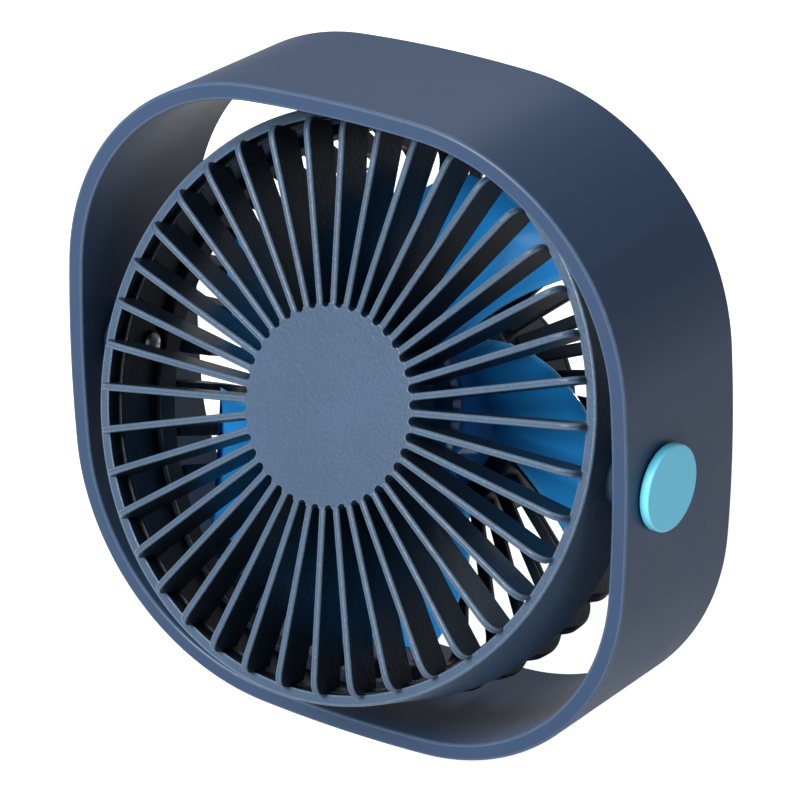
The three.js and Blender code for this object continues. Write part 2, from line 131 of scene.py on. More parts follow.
class FanShellSettings(bpy.types.PropertyGroup):
    """Sizes and colours of the standing frame and the head's grilles."""

    frame_colour: bpy.props.FloatVectorProperty(
        name="Frame colour", description="Moulded plastic of the standing frame", subtype="COLOR",
        size=3, min=0, max=1, default=(0.024, 0.05, 0.105))
    shell_colour: bpy.props.FloatVectorProperty(
        name="Head colour", description="Moulded plastic of the shroud and the front grille",
        subtype="COLOR", size=3, min=0, max=1, default=(0.04, 0.073, 0.125))
    # darker than the head's plastic: painted shade, so the rear ribs seen through the front read black
    rear_shaded_colour: bpy.props.FloatVectorProperty(
        name="Rear colour", description="Moulded plastic of the rear grille and its cover",
        subtype="COLOR", size=3, min=0, max=1, default=(0.007, 0.013, 0.024))
    accent_colour: bpy.props.FloatVectorProperty(
        name="Accent colour", description="Pivot knobs and push button", subtype="COLOR",
        size=3, min=0, max=1, default=(0.14, 0.68, 0.95))
    edge_radius: bpy.props.FloatProperty(
        name="Edge radius", description="Rounding of the frame's four edges, in millimetres",
        min=0.1, max=1.5, default=0.55)
    front_ribs: bpy.props.IntProperty(
        name="Front ribs", description="Ribs round the front grille", min=8, max=80, default=40)
    rear_ribs: bpy.props.IntProperty(
        name="Rear ribs", description="Ribs round the rear grille", min=8, max=60, default=40)
    rib_thickness: bpy.props.FloatProperty(
        name="Rib thickness", description="Thickness of the front ribs, in millimetres",
        min=0.6, max=2.4, default=1.5)
    rear_rib_width: bpy.props.FloatProperty(
        name="Rear rib width", description="Width of the rear grille's flat ribs, in millimetres",
        min=0.8, max=3.2, default=2.7)


class FanRotorSettings(bpy.types.PropertyGroup):
    """Sizes and colour of the rotor."""

    colour: bpy.props.FloatVectorProperty(
        name="Rotor colour", description="Glossy plastic of the hub and blades", subtype="COLOR",
        size=3, min=0, max=1, default=(0.016, 0.24, 0.62))
    blades: bpy.props.IntProperty(
        name="Blades", description="Number of blades", min=2, max=9, default=5)
    blade_thickness: bpy.props.FloatProperty(
        name="Blade thickness", description="Thickness at the hub, in millimetres",
        min=0.6, max=3, default=1.4)


class FanStageSettings(bpy.types.PropertyGroup):
    """Camera and light."""

    azimuth: bpy.props.FloatProperty(
        name="Azimuth", description="How far the camera stands to the right of the front",
        subtype="ANGLE", default=math.radians(36.181))
    elevation: bpy.props.FloatProperty(
        name="Elevation", description="How far the camera looks down", subtype="ANGLE",
        default=math.radians(23.304))
    roll: bpy.props.FloatProperty(
        name="Roll", description="Turn of the camera about its own axis", subtype="ANGLE",
        default=math.radians(-0.66))
    distance: bpy.props.FloatProperty(
        name="Distance", description="From the camera to the frame's middle", subtype="DISTANCE",
        unit="LENGTH", default=0.89256)
    lens: bpy.props.FloatProperty(
        name="Lens", description="Focal length on a 36 mm sensor, in millimetres", default=197.4)
    shift: bpy.props.FloatVectorProperty(
        name="Shift", description="Lens shift across and up", size=2, default=(0.0045, -0.0028))
    key_light: bpy.props.FloatProperty(
        name="Key light", description="Strength of the large front light, in watts", default=55.0)
    top_light: bpy.props.FloatProperty(
        name="Top light", description="Strength of the light above the back, in watts", default=3.6)
    fill_light: bpy.props.FloatProperty(
        name="Fill light", description="Strength of the light from the right, in watts", default=3.6)
    sky: bpy.props.FloatProperty(
        name="Room light", description="Strength of the even light all round", default=0.06)
    mirrored_room: bpy.props.FloatProperty(
        name="Mirrored room", description="Strength of the room in reflections", default=0.42)


# ---- shapes ----
class Shape:
    """Points in millimetres, four- and three-cornered faces, and a mark on each point: 1 on a rounded edge,
    0 on an open face, below 0 on the walls of a slot or recess. The finishes lighten marked edges with
    painted highlight and some wear, and paint shade on walls marked below 0."""

    def __init__(self, points, quads=(), tris=(), edge=None):
        self.points = np.asarray(points, float).reshape(-1, 3)
        self.quads = np.asarray(quads, np.int64).reshape(-1, 4)
        self.tris = np.asarray(tris, np.int64).reshape(-1, 3)
        self.edge = np.zeros(len(self.points)) if edge is None else np.asarray(edge, float).ravel()

    def outward(self):
        """Turns every face round if the signed volume of the closed surface is negative."""
        corners = np.concatenate([self.quads[:, [0, 1, 2]], self.quads[:, [0, 2, 3]], self.tris])
        a, b, c = (self.points[corners[:, k]] for k in range(3))
        if np.einsum("ij,ij->i", a, np.cross(b, c)).sum() < 0:
            self.quads, self.tris = self.quads[:, ::-1], self.tris[:, ::-1]
        return self

    def placed(self, turn, shift=(0, 0, 0)):
        """The same shape with every point p moved to turn p + shift."""
        moved = self.points @ np.asarray(turn, float).T + np.asarray(shift, float)
        return Shape(moved, self.quads, self.tris, self.edge)


def joined(shapes):
    """One shape that holds all the given closed shapes."""
    starts = np.cumsum([0] + [len(shape.points) for shape in shapes])
    return Shape(np.concatenate([shape.points for shape in shapes]),
                 np.concatenate([shape.quads + start for shape, start in zip(shapes, starts)]),
                 np.concatenate([shape.tris + start for shape, start in zip(shapes, starts)]),
                 np.concatenate([shape.edge for shape in shapes]))


def turn_about(axis, degrees):
    return np.array(Matrix.Rotation(math.radians(degrees), 3, axis))


def repeated(shape, count):
    """The shape and its copies turned about the Y axis by equal steps."""
    return joined([shape.placed(turn_about("Y", 360 * index / count)) for index in range(count)])


def sheet_of(points, wrap_u, wrap_v):
    """Quads over a grid of points [u, v], closed in u or v where asked."""
    rows, columns = points.shape[:2]
    index = np.arange(rows * columns).reshape(rows, columns)
    if wrap_u:
        index = np.concatenate([index, index[:1]])
    if wrap_v:
        index = np.concatenate([index, index[:, :1]], axis=1)
    return np.stack([index[:-1, :-1], index[1:, :-1], index[1:, 1:], index[:-1, 1:]], -1).reshape(-1, 4)


def loft(rings, closed=False, edge=None):
    """Loops of points [station, loop, xyz] joined station to station; open ends are closed by fans of
    triangles round each end loop's mean point."""
    stations, around = rings.shape[:2]
    points = rings.reshape(-1, 3)
    edge = np.zeros((stations, around)) if edge is None else np.broadcast_to(edge, (stations, around))
    quads = sheet_of(rings, closed, True)
    if closed:
        return Shape(points, quads, edge=edge).outward()
    loop = np.arange(around)
    after = np.roll(loop, -1)
    last = (stations - 1) * around
    middle = len(points)
    tris = np.concatenate([np.stack([loop, after, np.full(around, middle)], 1),
                           np.stack([last + after, last + loop, np.full(around, middle + 1)], 1)])
    points = np.concatenate([points, rings[0].mean(0)[None], rings[-1].mean(0)[None]])
    return Shape(points, quads, tris, np.append(edge, [0, 0])).outward()


def closed_at_poles(grid, edge, first_y, last_y):
    """Quads over a grid [round the axis, along the section], closed by fans of triangles at two points on the
    Y axis."""
    around, along = grid.shape[:2]
    loop = np.arange(around) * along
    after = np.roll(loop, -1)
    first = np.full(around, around * along)
    tris = np.concatenate([np.stack([after, loop, first], 1),
                           np.stack([loop + along - 1, after + along - 1, first + 1], 1)])
    points = np.concatenate([grid.reshape(-1, 3), [[0, first_y, 0], [0, last_y, 0]]])
    mark = np.append(np.broadcast_to(edge, (around, along)), [0, 0])
    return Shape(points, sheet_of(grid, True, False), tris, mark).outward()


def lathe(profile, segments, wave=None):
    """Turns a profile of [radius, y, edge] rows about the Y axis. A profile that starts and ends on the axis
    closes at two poles; any other one closes on itself. wave(angle, radius, y) may give other radii and y."""
    profile = np.asarray(profile, float)
    poles = profile[0, 0] < 1e-6 and profile[-1, 0] < 1e-6
    body = profile[1:-1] if poles else profile
    angle = np.arange(segments)[:, None] * TAU / segments
    radius, y = np.broadcast_arrays(body[:, 0], np.zeros((segments, 1)) + body[:, 1])
    if wave:
        radius, y = wave(angle, radius, y)
    grid = np.stack([radius * np.cos(angle), y, radius * np.sin(angle)], -1)
    if poles:
        return closed_at_poles(grid, body[:, 2], profile[0, 1], profile[-1, 1])
    edge = np.broadcast_to(body[:, 2], grid.shape[:2])
    return Shape(grid, sheet_of(grid, True, True), edge=edge).outward()


def rounded(corners, radius, steps=5, closed=True):
    """A profile whose corners are replaced by arcs. Each corner is [a, b] or [a, b, radius]; the arc touches
    both sides, and a point a little before and after it keeps the flats flat. Rows are [a, b, edge], edge 1
    on arcs."""
    count = len(corners)
    rows = []
    for index, corner in enumerate(corners):
        here = np.array(corner[:2], float)
        size = corner[2] if len(corner) > 2 else radius
        if not closed and index in (0, count - 1) or size <= 0:
            rows.append([*here, 0])
            continue
        before = np.array(corners[index - 1][:2], float) - here
        after = np.array(corners[(index + 1) % count][:2], float) - here
        lengths = np.linalg.norm(before), np.linalg.norm(after)
        before, after = before / lengths[0], after / lengths[1]
        opening = math.acos(np.clip(before @ after, -1, 1))
        size = min(size, 0.45 * min(lengths) * math.tan(opening / 2))
        reach = size / math.tan(opening / 2)
        middle = here + (before + after) / np.linalg.norm(before + after) * size / math.sin(opening / 2)
        start, end = here + before * reach - middle, here + after * reach - middle
        sweep = math.pi - opening
        share = np.linspace(0, 1, steps + 1)[:, None]
        arc = (np.sin((1 - share) * sweep) * start + np.sin(share * sweep) * end) / math.sin(sweep) + middle
        step = min(0.12, 0.04 * min(lengths))
        rows.append([*(here + before * (reach + step)), 0])
        rows += [[*point, 1] for point in arc]
        rows.append([*(here + after * (reach + step)), 0])
    return np.array(rows)


def polar(radius, degrees):
    angle = np.radians(degrees)
    return radius * np.cos(angle), radius * np.sin(angle)


def disc_loop(x, z, count=48):
    """A circle round (x, z) whose radius is the loop's offset."""
    angle = np.arange(count) * TAU / count
    return lambda offset: np.stack([x + offset * np.cos(angle), z + offset * np.sin(angle)], 1)


def slot_loop(x, z, width, height, corner, count=9):
    """A rectangle with round corners, grown all round by the loop's offset."""
    turn = np.concatenate([np.linspace(k * 90, k * 90 + 90, count) for k in range(4)])
    side_x = np.repeat([1, -1, -1, 1], count) * (width / 2 - corner)
    side_z = np.repeat([1, 1, -1, -1], count) * (height / 2 - corner)

    def loop(offset):
        across, up = polar(corner + offset, turn)
        return np.stack([x + side_x + across, z + side_z + up], 1)
    return loop


def within(loop, points):
    """Whether each point lies in a closed loop: an odd number of crossings of the ray to its right."""
    start, end = loop, np.roll(loop, -1, axis=0)
    above = (start[None, :, 1] > points[:, None, 1]) != (end[None, :, 1] > points[:, None, 1])
    rise = np.where(np.abs(end[:, 1] - start[:, 1]) < 1e-12, 1e-12, end[:, 1] - start[:, 1])
    cross = start[:, 0] + (points[:, None, 1] - start[:, 1]) * (end[:, 0] - start[:, 0]) / rise
    return (above & (points[:, None, 0] < cross)).sum(1) % 2 == 1


def pierced_plate(outline, holes=()):
    """A plate with holes. The outline and each hole are (loop, band): loop(offset) gives the rim in the x-z
    plane, and band lists [offset, y, edge] rows from the low flat to the high one. The flats are triangulated
    between the rims, and turned to face down at the low side and up at the high one."""
    points, quads, edge, flats = [], [], [], ([], [])
    total = 0
    for number, (loop, band) in enumerate([outline, *holes]):
        grid = np.stack([np.insert(loop(row[0]), 1, row[1], axis=1) for row in band])
        wall = sheet_of(grid, False, True) + total
        quads.append(wall if number == 0 else wall[:, ::-1])
        for side, station in zip(flats, (0, len(band) - 1)):
            side.append((grid[station][:, [0, 2]], total + station * grid.shape[1]))
        points.append(grid.reshape(-1, 3))
        edge.append(np.repeat(band[:, 2], grid.shape[1]))
        total += len(points[-1])
    tris = []
    for facing, side in zip((1, -1), flats):
        flat = np.concatenate([rim for rim, _ in side])
        index = np.concatenate([np.arange(len(rim)) + start for rim, start in side])
        steps = np.cumsum([0] + [len(rim) for rim, _ in side])
        borders = [(first + k, first + (k + 1) % (last - first))
                   for first, last in zip(steps[:-1], steps[1:]) for k in range(last - first)]
        _, _, found, origin, _, _ = delaunay_2d_cdt(flat.tolist(), borders, [], 0, 1e-9)
        found = np.array([[origin[corner][0] for corner in face] for face in found])
        a, b, c = (flat[found[:, k]] for k in range(3))
        inside = within(side[0][0], (a + b + c) / 3)
        for rim, _ in side[1:]:
            inside &= ~within(rim, (a + b + c) / 3)
        area = (b - a)[:, 0] * (c - a)[:, 1] - (b - a)[:, 1] * (c - a)[:, 0]
        found = np.where((area * facing > 0)[:, None], found, found[:, ::-1])
        tris.append(index[found[inside]])
    return Shape(np.concatenate(points), np.concatenate(quads), np.concatenate(tris), np.concatenate(edge))


def polygon_loop(corners):
    """A closed outline against the clock; the offset moves each corner outward along its mitre."""
    corners = np.asarray(corners, float)
    side = np.roll(corners, -1, axis=0) - corners
    side /= np.linalg.norm(side, axis=1, keepdims=True)
    normal = np.stack([side[:, 1], -side[:, 0]], 1)
    mitre = normal + np.roll(normal, 1, axis=0)
    mitre /= np.maximum((mitre * normal).sum(1, keepdims=True), 0.3)
    return lambda offset: corners + offset * mitre


def slab(y0, y1, radius=0.12, hold=1.0):
    """The band of a plate from y0 to y1 with rounded rims, for pierced_plate."""
    return rounded([[-hold, y0], [0, y0], [0, y1], [-hold, y1]], radius, 3, closed=False)[1:-1]


def hole_band(y0, y1):
    """The band of a plain hole through a plate from y0 to y1: the same as slab, widening at its rims."""
    return slab(y0, y1, 0.1) * [-1, 1, 1]


def turned_ring(inner, outer, y0, y1, radius, steps, segments):
    """A ring of rectangular section about the Y axis, or a disc where inner is 0, with rounded edges."""
    corners = [[inner, y0], [outer, y0], [outer, y1], [inner, y1]]
    return lathe(rounded(corners, radius, steps, closed=inner > 0), segments)


def along_x(shape):
    """Turns something modelled along Y to lie along X, so that y becomes x."""
    return shape.placed([[0, 1, 0], [-1, 0, 0], [0, 0, 1]])


def tube_along(path, radius, around):
    """A round wire: at each point of the path a circle in the plane square to the path."""
    path = np.asarray(path, float)
    tangent = np.gradient(path, axis=0)
    tangent /= np.linalg.norm(tangent, axis=1, keepdims=True)
    side = np.cross(tangent, [0.31, 0.17, 0.94])
    side /= np.linalg.norm(side, axis=1, keepdims=True)
    up = np.cross(tangent, side)
    angle = np.arange(around) * TAU / around
    rings = (path[:, None] + radius * (np.cos(angle)[None, :, None] * side[:, None]
                                       + np.sin(angle)[None, :, None] * up[:, None]))
    return loft(rings)


# ---- from shapes to pieces ----
HEAD_BACK = -np.array(JOINTS["rotor_spin"]["axis"])
HEAD_TURN = np.stack([[1, 0, 0], HEAD_BACK, np.cross([1, 0, 0], HEAD_BACK)], 1)
NO_TURN = np.eye(3)
PLACES = {
    "head": (HEAD_TURN, PIVOT),
    "axle": (NO_TURN, PIVOT),
    "frame": (NO_TURN, RING_MIDDLE),
}


def piece(name, shape, place, body, slot, look):
    """Makes a mesh of the shape, in its place and with its finish, and lets it ride its body in its node's
    stead."""
    shape = shape.placed(*PLACES[place])
    mesh = bpy.data.meshes.new(f"{name}_body")
    mesh.vertices.add(len(shape.points))
    mesh.vertices.foreach_set("co", (shape.points * MM).ravel())
    corners = np.concatenate([shape.quads.ravel(), shape.tris.ravel()])
    mesh.loops.add(len(corners))
    mesh.loops.foreach_set("vertex_index", corners)
    starts = np.concatenate([np.arange(len(shape.quads)) * 4,
                             len(shape.quads) * 4 + np.arange(len(shape.tris)) * 3])
    mesh.polygons.add(len(starts))
    mesh.polygons.foreach_set("loop_start", starts)
    mesh.update(calc_edges=True)
    mesh.validate()
    mesh.polygons.foreach_set("use_smooth", np.full(len(mesh.polygons), True))
    mesh.set_sharp_from_angle(angle=math.radians(40))
    edge = mesh.attributes.new("edge", "FLOAT", "POINT")
    edge.data.foreach_set("value", shape.edge.astype(np.float32))
    made = bpy.data.objects.new(mesh.name, mesh)
    bpy.context.scene.collection.objects.link(made)
    mesh.materials.append(finish(look))
    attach(made, body)
    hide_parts(name)
    return made


# ---- finishes ----
def group(name, inputs, outputs):
    """An empty node group with float, colour or vector sockets, each given as (name, kind, default)."""
    tree = bpy.data.node_groups.new(name, "ShaderNodeTree")
    for label, kind, default in inputs:
        socket = tree.interface.new_socket(label, in_out="INPUT", socket_type=f"NodeSocket{kind}")
        if default is not None:
            socket.default_value = default
    for label, kind in outputs:
        tree.interface.new_socket(label, in_out="OUTPUT", socket_type=f"NodeSocket{kind}")
    return tree, tree.nodes.new("NodeGroupInput"), tree.nodes.new("NodeGroupOutput")


def feed(tree, socket, value):
    """Gives an input a number, a colour or the output of another node."""
    if isinstance(value, (int, float)):
        socket.default_value = value
    elif isinstance(value, (tuple, list)):
        socket.default_value = (*value[:3], 1)
    else:
        tree.links.new(value, socket)


def feed_all(tree, node, **values):
    """Feeds the named inputs of a node; _ stands for a space."""
    for label, value in values.items():
        feed(tree, node.inputs[label.replace("_", " ")], value)
    return node


def calc(tree, operation, *values):
    """A Math node; each value is a number or an output socket."""
    node = tree.nodes.new("ShaderNodeMath")
    node.operation = operation
    for socket, value in zip(node.inputs, values):
        feed(tree, socket, value)
    return node.outputs[0]


def noise(tree, vector, scale, detail=2.0, roughness=0.5):
    node = tree.nodes.new("ShaderNodeTexNoise")
    feed_all(tree, node, Vector=vector, Scale=scale, Detail=detail, Roughness=roughness)
    return node.outputs["Fac"]


def mixed(tree, share, first, second):
    """A colour between two colours; each is a colour tuple or an output socket."""
    node = tree.nodes.new("ShaderNodeMix")
    node.data_type = "RGBA"
    for number, value in ((0, share), (6, first), (7, second)):
        feed(tree, node.inputs[number], value)
    return node.outputs[2]


def moulded_grain():
    """Grain of moulded plastic: fine bumps, a slow mottle in tone, faint wipe marks in the gloss."""
    name = "Moulded grain"
    if name in bpy.data.node_groups:
        return bpy.data.node_groups[name]
    tree, given, out = group(
        name, [("Vector", "Vector", None), ("Grain size", "Float", 2600.0), ("Mottle", "Float", 0.1)],
        [("Tone", "Float"), ("Gloss", "Float"), ("Height", "Float")])
    vector, size, mottle = (given.outputs[number] for number in range(3))
    fine = noise(tree, vector, size, 3.0, 0.6)
    coarse = noise(tree, vector, calc(tree, "MULTIPLY", size, 0.42), 1.0)
    slow = noise(tree, vector, 38.0, 3.0)
    wipe = noise(tree, vector, 150.0, 4.0, 0.65)
    swing = calc(tree, "ADD", calc(tree, "SUBTRACT", slow, 0.5),
                 calc(tree, "MULTIPLY", calc(tree, "SUBTRACT", fine, 0.5), 0.8))
    feed_all(tree, out, Tone=calc(tree, "MULTIPLY_ADD", swing, mottle, 1.0),
             Gloss=calc(tree, "MULTIPLY_ADD", calc(tree, "SUBTRACT", wipe, 0.5), 0.12, 0.0),
             Height=calc(tree, "MULTIPLY_ADD", coarse, 0.5, fine))
    return tree


def worn_and_highlighted_edges():
    """Lightens the rounded edges, broken up by noise: painted highlight with some wear on the plastics, a
    little dust on the rubber. The plastics also use its mask to make the edges a little smoother than the
    faces.
    """
    name = "Rubbed edges"
    if name in bpy.data.node_groups:
        return bpy.data.node_groups[name]
    tree, given, out = group(
        name, [("Vector", "Vector", None), ("Edge", "Float", 0.0), ("Colour", "Color", (0.1, 0.1, 0.1, 1)),
               ("Rubbed colour", "Color", (0.3, 0.3, 0.3, 1)), ("Amount", "Float", 0.5)],
        [("Colour", "Color"), ("Mask", "Float")])
    vector, mark, colour, highlight_and_wear, amount = (given.outputs[number] for number in range(5))
    broken = noise(tree, vector, 420.0, 4.0, 0.6)
    worn_and_lit = calc(tree, "MULTIPLY_ADD", broken, 1.1, 0.35)
    mask = calc(tree, "MULTIPLY", calc(tree, "MAXIMUM", mark, 0.0), worn_and_lit)
    mask = calc(tree, "MULTIPLY", calc(tree, "MINIMUM", mask, 1.0), amount)
    feed_all(tree, out, Colour=mixed(tree, mask, colour, highlight_and_wear), Mask=mask)
    return tree


def start_finish(name):
    """A new material with its tree, its Principled shader and centred object coordinates."""
    made = bpy.data.materials.new(name)
    made.use_nodes = True
    tree = made.node_tree
    tree.nodes.clear()
    output = tree.nodes.new("ShaderNodeOutputMaterial")
    shader = tree.nodes.new("ShaderNodeBsdfPrincipled")
    tree.links.new(shader.outputs[0], output.inputs[0])
    place = tree.nodes.new("ShaderNodeTexCoord")
    centred = tree.nodes.new("ShaderNodeMapping")
    centred.inputs["Location"].default_value = tuple(-RING_MIDDLE * MM)
    tree.links.new(place.outputs["Object"], centred.inputs["Vector"])
    return made, tree, shader, centred.outputs[0]


def place_group(tree, kind, **values):
    node = tree.nodes.new("ShaderNodeGroup")
    node.node_tree = kind
    return feed_all(tree, node, **values)


def bumped(tree, shader, height, depth):
    """Raises the surface by the height, depth in metres for a height of one."""
    bump = tree.nodes.new("ShaderNodeBump")
    feed_all(tree, bump, Strength=1.0, Distance=depth, Height=height)
    tree.links.new(bump.outputs[0], shader.inputs["Normal"])


def toned_colour(tree, colour, tone):
    """The colour with its brightness multiplied by the tone."""
    toned = tree.nodes.new("ShaderNodeHueSaturation")
    return feed_all(tree, toned, Color=colour, Value=tone).outputs[0]


def edge_mark(tree):
    """The mark that each point of a shape carries."""
    attribute = tree.nodes.new("ShaderNodeAttribute")
    attribute.attribute_name = "edge"
    return attribute.outputs["Fac"]


def plastic(name, colour, roughness=0.5, highlight_and_wear=0.35, grain=2600.0, depth=0.00002, mottle=0.12, coat=0.0,
            specular=0.5):
    """Moulded plastic: grain and mottle, edges lightened by painted highlight with some wear, uneven gloss,
    and painted shade on walls whose mark is below zero."""
    made, tree, shader, vector = start_finish(name)
    colour = tuple(colour)
    mark = edge_mark(tree)
    skin = place_group(tree, moulded_grain(), Vector=vector, Grain_size=grain, Mottle=mottle)
    # the edges' lighter colour: a painted highlight with some wear
    light = tuple(channel * 0.6 + channel ** 0.5 * 0.32 for channel in colour)
    worn_and_lit = place_group(tree, worn_and_highlighted_edges(), Vector=vector, Edge=mark, Colour=colour, Rubbed_colour=light,
                       Amount=highlight_and_wear)
    # painted shade: a mark below zero darkens the tone by that share
    sunk = calc(tree, "ADD", calc(tree, "MINIMUM", mark, 0.0), 1.0)
    tone = calc(tree, "MULTIPLY", skin.outputs["Tone"], sunk)
    gloss = calc(tree, "ADD", calc(tree, "MULTIPLY_ADD", worn_and_lit.outputs["Mask"], -0.12, roughness),
                 skin.outputs["Gloss"])
    feed_all(tree, shader, Base_Color=toned_colour(tree, worn_and_lit.outputs["Colour"], tone), Roughness=gloss,
             Specular_IOR_Level=specular)
    if coat:
        feed_all(tree, shader, Coat_Weight=coat, Coat_Roughness=0.08)
    bumped(tree, shader, skin.outputs["Height"], depth)
    return made


def metal(name, colour, roughness=0.3, stretch=(1, 1, 1), depth=0.000006):
    """Plated or turned metal: fine drawn lines, smudges in the gloss."""
    made, tree, shader, vector = start_finish(name)
    drawn = tree.nodes.new("ShaderNodeMapping")
    drawn.inputs["Scale"].default_value = stretch
    tree.links.new(vector, drawn.inputs["Vector"])
    lines = noise(tree, drawn.outputs[0], 1800.0, 3.0)
    smudge = noise(tree, vector, 160.0, 3.0)
    feed_all(tree, shader, Base_Color=mixed(tree, lines, tuple(0.78 * c for c in colour), colour),
             Roughness=calc(tree, "MULTIPLY_ADD", smudge, 0.2, roughness - 0.1), Metallic=1.0)
    bumped(tree, shader, lines, depth)
    return made


def rubber(name, colour):
    """Soft foot rubber: matte, mottled, with a fine pebble and a little dust on the edges."""
    made, tree, shader, vector = start_finish(name)
    skin = place_group(tree, moulded_grain(), Vector=vector, Grain_size=1900.0, Mottle=0.3)
    dusty = place_group(tree, worn_and_highlighted_edges(), Vector=vector, Edge=edge_mark(tree), Colour=colour,
                        Rubbed_colour=(0.16, 0.155, 0.15), Amount=0.35)
    colour = toned_colour(tree, dusty.outputs["Colour"], skin.outputs["Tone"])
    feed_all(tree, shader, Base_Color=colour, Roughness=calc(tree, "ADD", skin.outputs["Gloss"], 0.82))
    bumped(tree, shader, skin.outputs["Height"], 0.00004)
    return made


def laminate(name, colour):
    """Circuit board: woven glass under a coloured mask."""
    made, tree, shader, vector = start_finish(name)
    weave = tree.nodes.new("ShaderNodeTexChecker")
    feed_all(tree, weave, Vector=vector, Scale=1400.0)
    mottle = noise(tree, vector, 300.0, 3.0)
    share = calc(tree, "MULTIPLY_ADD", weave.outputs["Fac"], 0.25, calc(tree, "MULTIPLY", mottle, 0.5))
    pale = tuple(min(1, 1.6 * c + 0.01) for c in colour)
    feed_all(tree, shader, Base_Color=mixed(tree, share, colour, pale),
             Roughness=calc(tree, "MULTIPLY_ADD", mottle, 0.2, 0.3))
    bumped(tree, shader, weave.outputs["Fac"], 0.000008)
    return made


def winding(name, colour):
    """Enamelled copper wire: fine ridges of the turns under a glossy varnish."""
    made, tree, shader, vector = start_finish(name)
    turns = tree.nodes.new("ShaderNodeTexWave")
    feed_all(tree, turns, Vector=vector, Scale=900.0, Distortion=1.5)
    ridge = turns.outputs["Fac"]
    feed_all(tree, shader, Base_Color=mixed(tree, ridge, tuple(0.35 * c for c in colour), colour),
             Roughness=calc(tree, "MULTIPLY_ADD", ridge, -0.15, 0.42), Metallic=0.85, Coat_Weight=0.4)
    bumped(tree, shader, ridge, 0.00012)
    return made


FINISHES = {}


def finish(name):
    """The finish of that name, made when it is first asked for."""
    if name not in FINISHES:
        shells, rotor = bpy.context.scene.fan_shell, bpy.context.scene.fan_rotor
        # In each plastic row, the value after the roughness lightens the marked edges: painted highlight with
        # some wear.
        makers = {
            "frame": (plastic, "frame_plastic", shells.frame_colour, 0.42, 0.8, 2400.0, 0.000012, 0.1, 0.0,
                      0.27),
            "shell": (plastic, "shell_plastic", shells.shell_colour, 0.38, 0.9, 1500.0, 0.00012, 0.3, 0.0,
                      0.25),
            # the rear grille and cover: the head's plastic darkened as painted shade
            "rear": (plastic, "rear_plastic", shells.rear_shaded_colour, 0.4, 0.35, 2400.0, 0.000014, 0.1, 0.0, 0.2),
            "accent": (plastic, "accent_plastic", shells.accent_colour, 0.42, 0.6, 2800.0, 0.00001, 0.06),
            "rotor": (plastic, "rotor_plastic", rotor.colour, 0.16, 0.9, 900.0, 0.000003, 0.05, 0.6),
            "bush": (plastic, "bush_navy", (0.012, 0.02, 0.035), 0.3, 0.5),
            "black": (plastic, "black_plastic", (0.012, 0.012, 0.014), 0.4, 0.3),
            "ferrite": (plastic, "magnet_ferrite", (0.035, 0.035, 0.038), 0.62, 0.6, 1700.0, 0.00004, 0.35),
            "red_lead": (plastic, "red_insulation", (0.42, 0.02, 0.015), 0.35, 0.1),
            "rubber": (rubber, "foot_rubber", (0.018, 0.019, 0.022)),
            "screw": (metal, "screw_nickel", (0.66, 0.64, 0.6), 0.28),
            "steel": (metal, "turned_steel", (0.58, 0.59, 0.6), 0.3, (1, 6, 6)),
            "silicon": (metal, "stator_steel", (0.36, 0.37, 0.39), 0.4, (1, 12, 3), 0.00002),
            "copper": (winding, "copper_winding", (0.72, 0.28, 0.12)),
            "board": (laminate, "board_green", (0.012, 0.09, 0.035)),
        }
        maker, *values = makers[name]
        FINISHES[name] = maker(*values)
    return FINISHES[name]


# ---- the standing frame ----
def ring_outline(side_steps=26, corner_steps=44):
    """Centres, radii and directions of the frame's outline: four bowed side arcs and four corner arcs, so
    that a point at inset d is centre + (radius - d) direction."""
    reach, corner = SIDE_REACH, CORNER_CENTRE
    blend = math.atan2(corner, corner + reach)
    side_angle = np.linspace(-blend, blend, side_steps, endpoint=False)
    corner_angle = np.linspace(blend, math.pi / 2 - blend, corner_steps, endpoint=False)
    angle = np.concatenate([side_angle, corner_angle])
    centre = np.repeat([[-reach, 0], [corner, corner]], [side_steps, corner_steps], axis=0)
    radius = np.repeat([SIDE_RADIUS, CORNER_RADIUS], [side_steps, corner_steps])
    centres, directions = [], []
    for quarter in range(4):
        cos, sin = round(math.cos(quarter * math.pi / 2)), round(math.sin(quarter * math.pi / 2))
        turn = np.array([[cos, sin], [-sin, cos]])
        centres.append(centre @ turn)
        directions.append(np.stack([np.cos(angle), np.sin(angle)], 1) @ turn)
    return np.concatenate(centres), np.tile(radius, 4), np.concatenate(directions)


